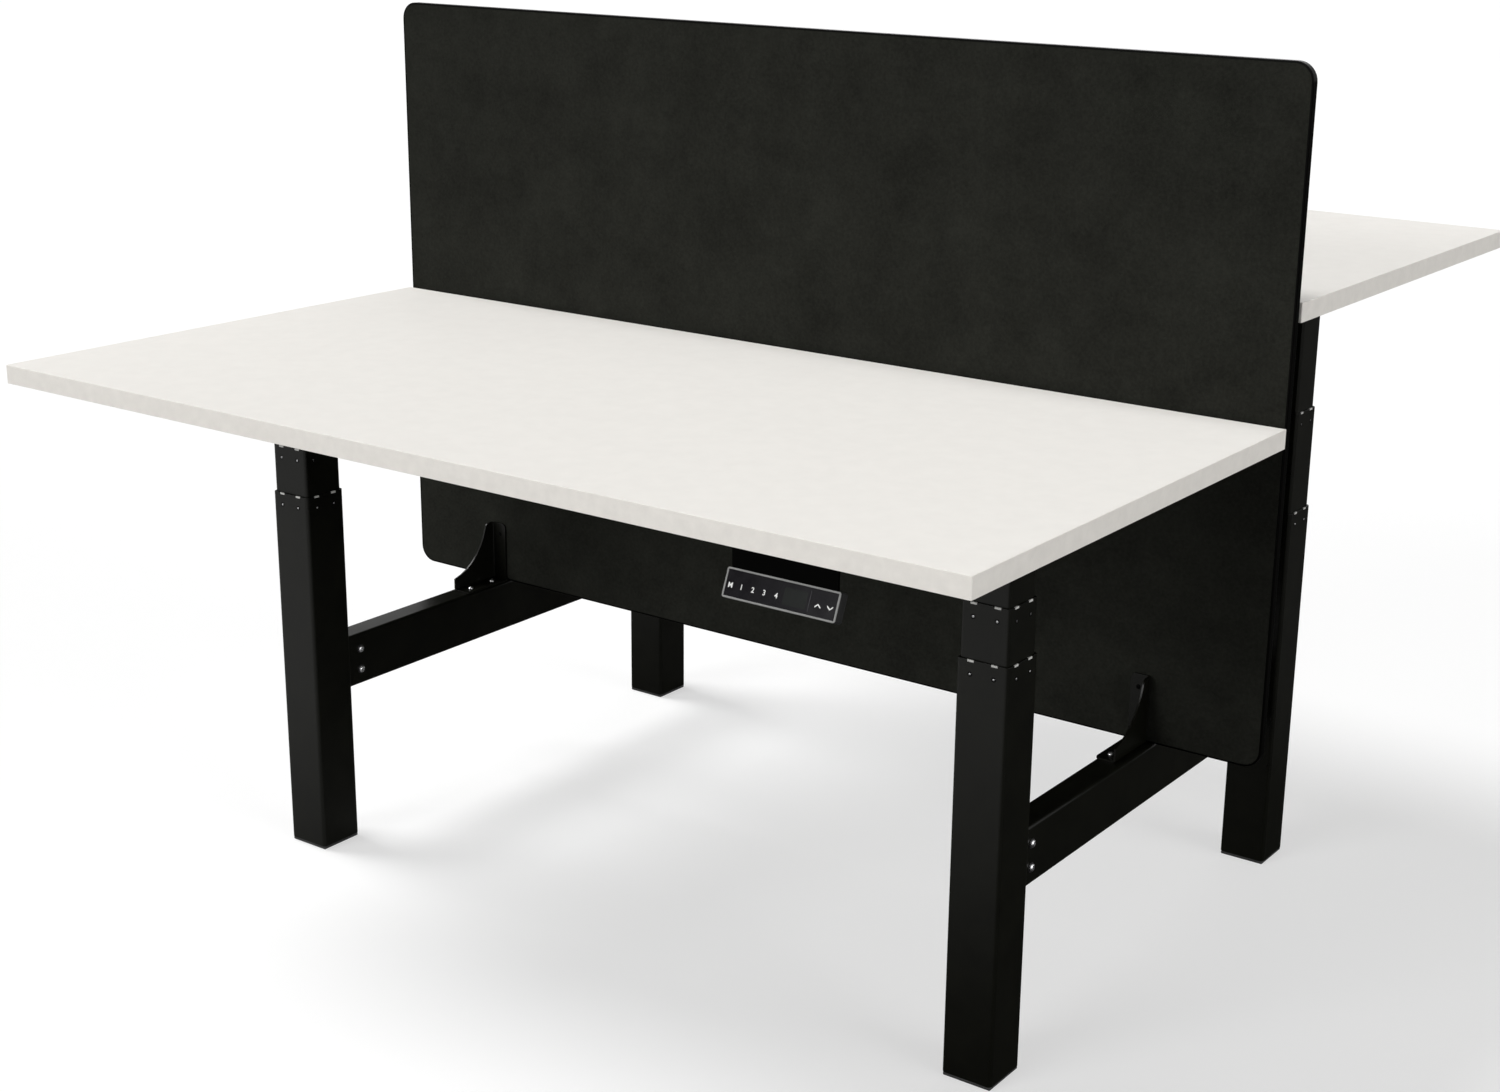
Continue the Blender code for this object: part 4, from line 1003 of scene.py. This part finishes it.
def symbol_mesh(text):
    """The flat solid of one figure or letter, centred, its strokes in the XY plane."""
    curve = bpy.data.curves.new("symbol", "FONT")
    curve.body = text
    curve.size = SYMBOL_HEIGHT / CAPITAL_SHARE
    curve.align_x = "CENTER"
    curve.align_y = "CENTER"
    curve.extrude = RELIEF
    curve.offset = SYMBOL_SWELL
    curve.resolution_u = 4
    drawn = new_object("symbol", curve)
    mesh = evaluated_mesh(drawn)
    bpy.data.objects.remove(drawn, do_unlink=True)
    return mesh


def chevron(solid, place, way):
    """An arrow head of even stroke, pointing up or down."""
    outline = [(-ARROW_HALF, 0.0), (0.0, ARROW_RISE), (ARROW_HALF, 0.0)]
    outline += [(x, y - ARROW_STROKE) for x, y in reversed(outline)]
    rings = []
    for depth in (-RELIEF, RELIEF):
        rings.append([place @ Vector((x, way * (y - ARROW_RISE / 3), depth)) for x, y in outline])
    skin(solid, rings)


def add_symbols(half, place, body):
    """Memory keys M and 1 to 4, a dark display window and two arrows, from left to right."""
    surface = GLASS_LEVELS[1] + RELIEF
    symbols = bmesh.new()
    for text, x in SYMBOLS:
        mesh = symbol_mesh(text)
        mesh.transform(place @ Matrix.Translation((x, SYMBOL_ROW, surface)))
        symbols.from_mesh(mesh)
    for x, way in ARROWS:
        chevron(symbols, place @ Matrix.Translation((x, SYMBOL_ROW, surface)), way)
    bmesh.ops.remove_doubles(symbols, verts=symbols.verts, dist=TINY)
    publish(f"handset_symbols_{half}", symbols, "print", body, "handset_glass")
    window = bmesh.new()
    low = (*WINDOW_LOW, surface - 2 * RELIEF)
    high = (*WINDOW_HIGH, surface - RELIEF / 2)
    block(window, low, high, WINDOW_CORNER, place, RELIEF_EDGE)
    publish(f"handset_window_{half}", window, "window", body, "handset_glass")


def add_motor(column):
    """Cast gearbox with its cover seam, and the round motor lying inwards."""
    node = f"motor_gearbox_{column}"
    low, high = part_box(node)
    axis = column_axis(column)
    inwards = 1 if axis.x < 0 else -1
    body = f"{half_of(column)}_top"
    half = (high.y - low.y) / 2
    seam = low.z + GEARBOX_SEAM_SHARE * (high.z - low.z)
    gearbox = bmesh.new()

    def layer(bottom, top, inset=0.0, edge=GEARBOX_EDGE):
        width = 2 * (half - inset)
        outline = (width, width, GEARBOX_CORNER - inset)
        slab(gearbox, outline, (bottom, top), edge * 2, edge, Matrix.Translation(axis))

    layer(low.z, seam - GEARBOX_SEAM_HALF)
    layer(seam + GEARBOX_SEAM_HALF, high.z)
    layer(seam - GASKET_HALF, seam + GASKET_HALF, GASKET_INSET, SOFT_EDGE)
    publish(f"gearbox_{column}", gearbox, "cast", body, "motor_housing", node)
    motor = bmesh.new()
    along = facing((axis.x + inwards * half, axis.y, (low.z + high.z) / 2), (inwards, 0, 0))
    cap_end = MOTOR_LENGTH + MOTOR_CAP_LENGTH
    section = [(MOTOR_COLLAR_RADIUS, -MOTOR_SINK), (MOTOR_COLLAR_RADIUS, MOTOR_COLLAR_LENGTH)]
    section += [(MOTOR_RADIUS, MOTOR_COLLAR_LENGTH), (MOTOR_RADIUS, MOTOR_LENGTH)]
    section += [(MOTOR_CAP_RADIUS, MOTOR_LENGTH), (MOTOR_CAP_RADIUS, cap_end), (MOTOR_END_RADIUS, cap_end)]
    turned(motor, softened(section, MOTOR_EDGE), along, steps=2 * ROUND_STEPS)
    publish(f"motor_{column}", motor, "motor", body, "motor_housing")
    screws = bmesh.new()
    across = (MOTOR_RADIUS + MOTOR_CAP_RADIUS) / 2
    for quarter in range(4):
        spot = polar(across, math.pi / 4 + quarter * math.pi / 2, MOTOR_LENGTH)
        screw_head(screws, along @ Matrix.Translation(spot), *MOTOR_SCREW)
    publish(f"motor_screws_{column}", screws, "zinc", body, "steel")


def bolt_pairs(solid, faces, y, z, offset, head):
    """Two bolts on each face, given as its x and the way that it looks along X."""
    for x, out in faces:
        for shift in (-offset, offset):
            screw_head(solid, facing((x, y + shift, z), (out, 0, 0), spin=shift), *head)


def add_under_top_screws(half):
    """Screws that hold the side arms, rails and control box."""
    body = f"{half}_top"
    wood, machine = bmesh.new(), bmesh.new()
    down = (0, 0, -1)
    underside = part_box(f"worktop_{half}")[0].z
    for side in SIDES:
        low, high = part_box(f"side_arm_{half}_{side}")
        x = (low.x + high.x) / 2
        plate = underside - TOUCH_GAP - ARM_WALL
        for inset in ARM_SCREW_INSETS:
            for y in (low.y + inset, high.y - inset):
                screw_head(wood, facing((x, y, plate), down, y * ARM_SCREW_SPIN), *ARM_SCREW)
        faces = ((low.x, -1), (high.x, 1))
        column_y = column_axis(f"{half}_{side}").y
        bolt_pairs(machine, faces, column_y, underside - ARM_BOLT_DROP, ARM_BOLT_OFFSET, ARM_BOLT)
    for rail in ("outer", "inner"):
        low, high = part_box(f"cross_rail_{half}_{rail}")
        faces = ((low.x + RAIL_END_PLATE, 1), (high.x - RAIL_END_PLATE, -1))
        middle = (low + high) / 2
        bolt_pairs(machine, faces, middle.y, middle.z, RAIL_BOLT_OFFSET, RAIL_BOLT)
    low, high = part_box(f"control_box_{half}")
    for x in (low.x + BOX_SCREW_INSET, high.x - BOX_SCREW_INSET):
        point = (x, (low.y + high.y) / 2, high.z - BOX_EAR_UNDERSIDE)
        screw_head(wood, facing(point, down, spin=x), *BOX_SCREW)
    publish(f"wood_screws_{half}", wood, "zinc", body, "steel")
    publish(f"frame_bolts_{half}", machine, "black_steel", body, "steel")


def add_box_sockets(half):
    """Plug sockets in the control box's ports, each with its row of pins."""
    low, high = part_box(f"control_box_{half}")
    place = Matrix.Translation((low + high) / 2) @ HALF_TURN[half]
    face = -(high.y - low.y) / 2
    sockets = bmesh.new()

    def plug(x, halves, depths, corner, edge):
        (half_x, half_z), (near, far) = halves, depths
        low = (x - half_x, face + near, -half_z)
        high = (x + half_x, face + far, half_z)
        block(sockets, low, high, corner, place, edge)

    for port in range(PORT_COUNT):
        x = (port - (PORT_COUNT - 1) / 2) * PORT_PITCH
        plug(x, SOCKET_HALF, SOCKET_DEPTHS, SOCKET_CORNER, SOFT_EDGE)
        for pin in range(PIN_COUNT):
            across = x + (pin - (PIN_COUNT - 1) / 2) * PIN_PITCH
            plug(across, PIN_HALF, PIN_DEPTHS, PIN_CORNER, FINEST_EDGE)
    publish(f"control_box_sockets_{half}", sockets, "socket", f"{half}_top", "box_plastic")


def finish_kept_nodes():
    """Dresses the frame's own nodes: merged flat faces, softened edges and a material."""
    for name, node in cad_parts.items():
        for start, (material, edge) in KEPT.items():
            if name.startswith(start):
                finish_node(node, material, edge)


def finish_node(node, material, edge):
    mesh = node.data
    mesh.materials.clear()
    mesh.materials.append(MATERIALS[material])
    if "custom_normal" in mesh.attributes:
        mesh.attributes.remove(mesh.attributes["custom_normal"])
    mesh.shade_smooth()
    modify(node, "WELD", merge_threshold=WELD_DISTANCE)
    modify(node, "DECIMATE", decimate_type="DISSOLVE", angle_limit=FLAT_ANGLE)
    if edge:
        angles = {"limit_method": "ANGLE", "angle_limit": SMOOTH_ANGLE}
        modify(node, "BEVEL", width=edge, segments=2, harden_normals=True, **angles)


# Studio


def add_camera():
    data = bpy.data.cameras.new("camera")
    data.sensor_width = SENSOR_WIDTH
    width, height = PHOTO_SIZE
    data.lens = FOCAL_PIXELS / width * SENSOR_WIDTH
    data.shift_x = (width / 2 - OPTICAL_CENTRE[0]) / width
    data.shift_y = (OPTICAL_CENTRE[1] - height / 2) / width
    camera = new_object("camera", data)
    heading = Matrix.Rotation(CAMERA_HEADING, 4, "Z")
    pitch = Matrix.Rotation(math.pi / 2 - CAMERA_PITCH, 4, "X")
    roll = Matrix.Rotation(CAMERA_ROLL, 4, "Z")
    camera.matrix_world = Matrix.Translation(CAMERA_PLACE) @ heading @ pitch @ roll
    bpy.context.scene.camera = camera


def seen_as_background(tree):
    """1 for a ray from the camera, or one that gloss or glass sends on, and 0 for light itself."""
    path = tree.nodes.new("ShaderNodeLightPath")
    seen = path.outputs["Is Camera Ray"]
    for kind in ("Is Glossy Ray", "Is Transmission Ray"):
        seen = arithmetic(tree, "MAXIMUM", seen, path.outputs[kind])
    return seen


def matt_grey(tree, brightness):
    node = tree.nodes.new("ShaderNodeBsdfDiffuse")
    if isinstance(brightness, float):
        node.inputs["Color"].default_value = (brightness, brightness, brightness, 1.0)
    else:
        tree.links.new(brightness, node.inputs["Color"])
    return node.outputs[0]


def lifted_white(tree, brightness, glow):
    """A matt white that glows a little, so that its shadows stay light."""
    glowing = tree.nodes.new("ShaderNodeEmission")
    glowing.inputs["Strength"].default_value = glow
    both = tree.nodes.new("ShaderNodeAddShader")
    tree.links.new(matt_grey(tree, brightness), both.inputs[0])
    tree.links.new(glowing.outputs[0], both.inputs[1])
    return both.outputs[0]


def mixed(tree, factor, first, second):
    mix = tree.nodes.new("ShaderNodeMixShader")
    tree.links.new(factor, mix.inputs["Fac"])
    tree.links.new(first, mix.inputs[1])
    tree.links.new(second, mix.inputs[2])
    return mix.outputs[0]


def painted_floor_shade(tree):
    """Painted shade: a brightness that falls across the floor, from the light front left to the dark back
    right.
    """
    place = tree.nodes.new("ShaderNodeTexCoord")
    along = tree.nodes.new("ShaderNodeVectorMath")
    along.operation = "DOT_PRODUCT"
    along.inputs[1].default_value = FALL_DIRECTION
    tree.links.new(place.outputs["Object"], along.inputs[0])
    fall = spread(tree, along.outputs["Value"], *FALL_RANGE, *FLOOR_MIRRORED)
    fall.interpolation_type = "SMOOTHSTEP"
    return fall.outputs["Result"]


def add_floor():
    """A plain pale floor: white where it is seen, greyer where it lights the desk, and painted with shade
    in reflections.
    """
    solid = bmesh.new()
    bmesh.ops.create_grid(solid, x_segments=1, y_segments=1, size=FLOOR_HALF)
    floor = object_of("floor", solid)
    material = bpy.data.materials.new("floor")
    material.use_nodes = True
    tree = material.node_tree
    tree.nodes.clear()
    seen = lifted_white(tree, *FLOOR_SEEN)
    # In reflections the floor carries painted shade, darker towards the back right.
    mirrored = lifted_white(tree, painted_floor_shade(tree), FLOOR_MIRRORED_GLOW)
    path = tree.nodes.new("ShaderNodeLightPath")
    either = mixed(tree, path.outputs["Is Camera Ray"], mirrored, seen)
    whole = mixed(tree, seen_as_background(tree), matt_grey(tree, FLOOR_LIGHTING), either)
    output = tree.nodes.new("ShaderNodeOutputMaterial")
    tree.links.new(whole, output.inputs["Surface"])
    floor.data.materials.append(material)


def add_lamp(name, light, angle):
    """A far soft lamp, which throws the given light on faces that look along each axis."""
    data = bpy.data.lights.new(name, "SUN")
    data.angle = math.radians(angle)
    data.energy = math.pi * Vector(light).length
    lamp = new_object(name, data)
    lamp.matrix_world = facing((0, 0, 0), light)


def add_world():
    """Even studio light, which shows as a white background."""
    world = bpy.data.worlds.new("studio")
    bpy.context.scene.world = world
    world.use_nodes = True
    tree = world.node_tree
    background = tree.nodes["Background"]
    set_inputs(background, {"Color": (*WORLD_TINT, 1.0), "Strength": WORLD_LIGHT})
    white = tree.nodes.new("ShaderNodeBackground")
    white.inputs["Color"].default_value = (1.0, 1.0, 1.0, 1.0)
    whole = mixed(tree, seen_as_background(tree), background.outputs[0], white.outputs[0])
    tree.links.new(whole, tree.nodes["World Output"].inputs["Surface"])


def add_studio():
    bpy.context.scene.view_settings.view_transform = "Standard"
    add_world()
    add_floor()
    for name, (light, angle) in LAMPS.items():
        add_lamp(name, light, angle)


def main():
    add_camera()
    for column in COLUMNS:
        add_column(column)
        add_motor(column)
        add_bracket_screws(column)
    for side in SIDES:
        add_side_beam(side)
    for half in HALVES:
        add_worktop(half)
        add_handset(half)
        add_under_top_screws(half)
        add_box_sockets(half)
    add_screen()
    finish_kept_nodes()
    add_studio()


main()
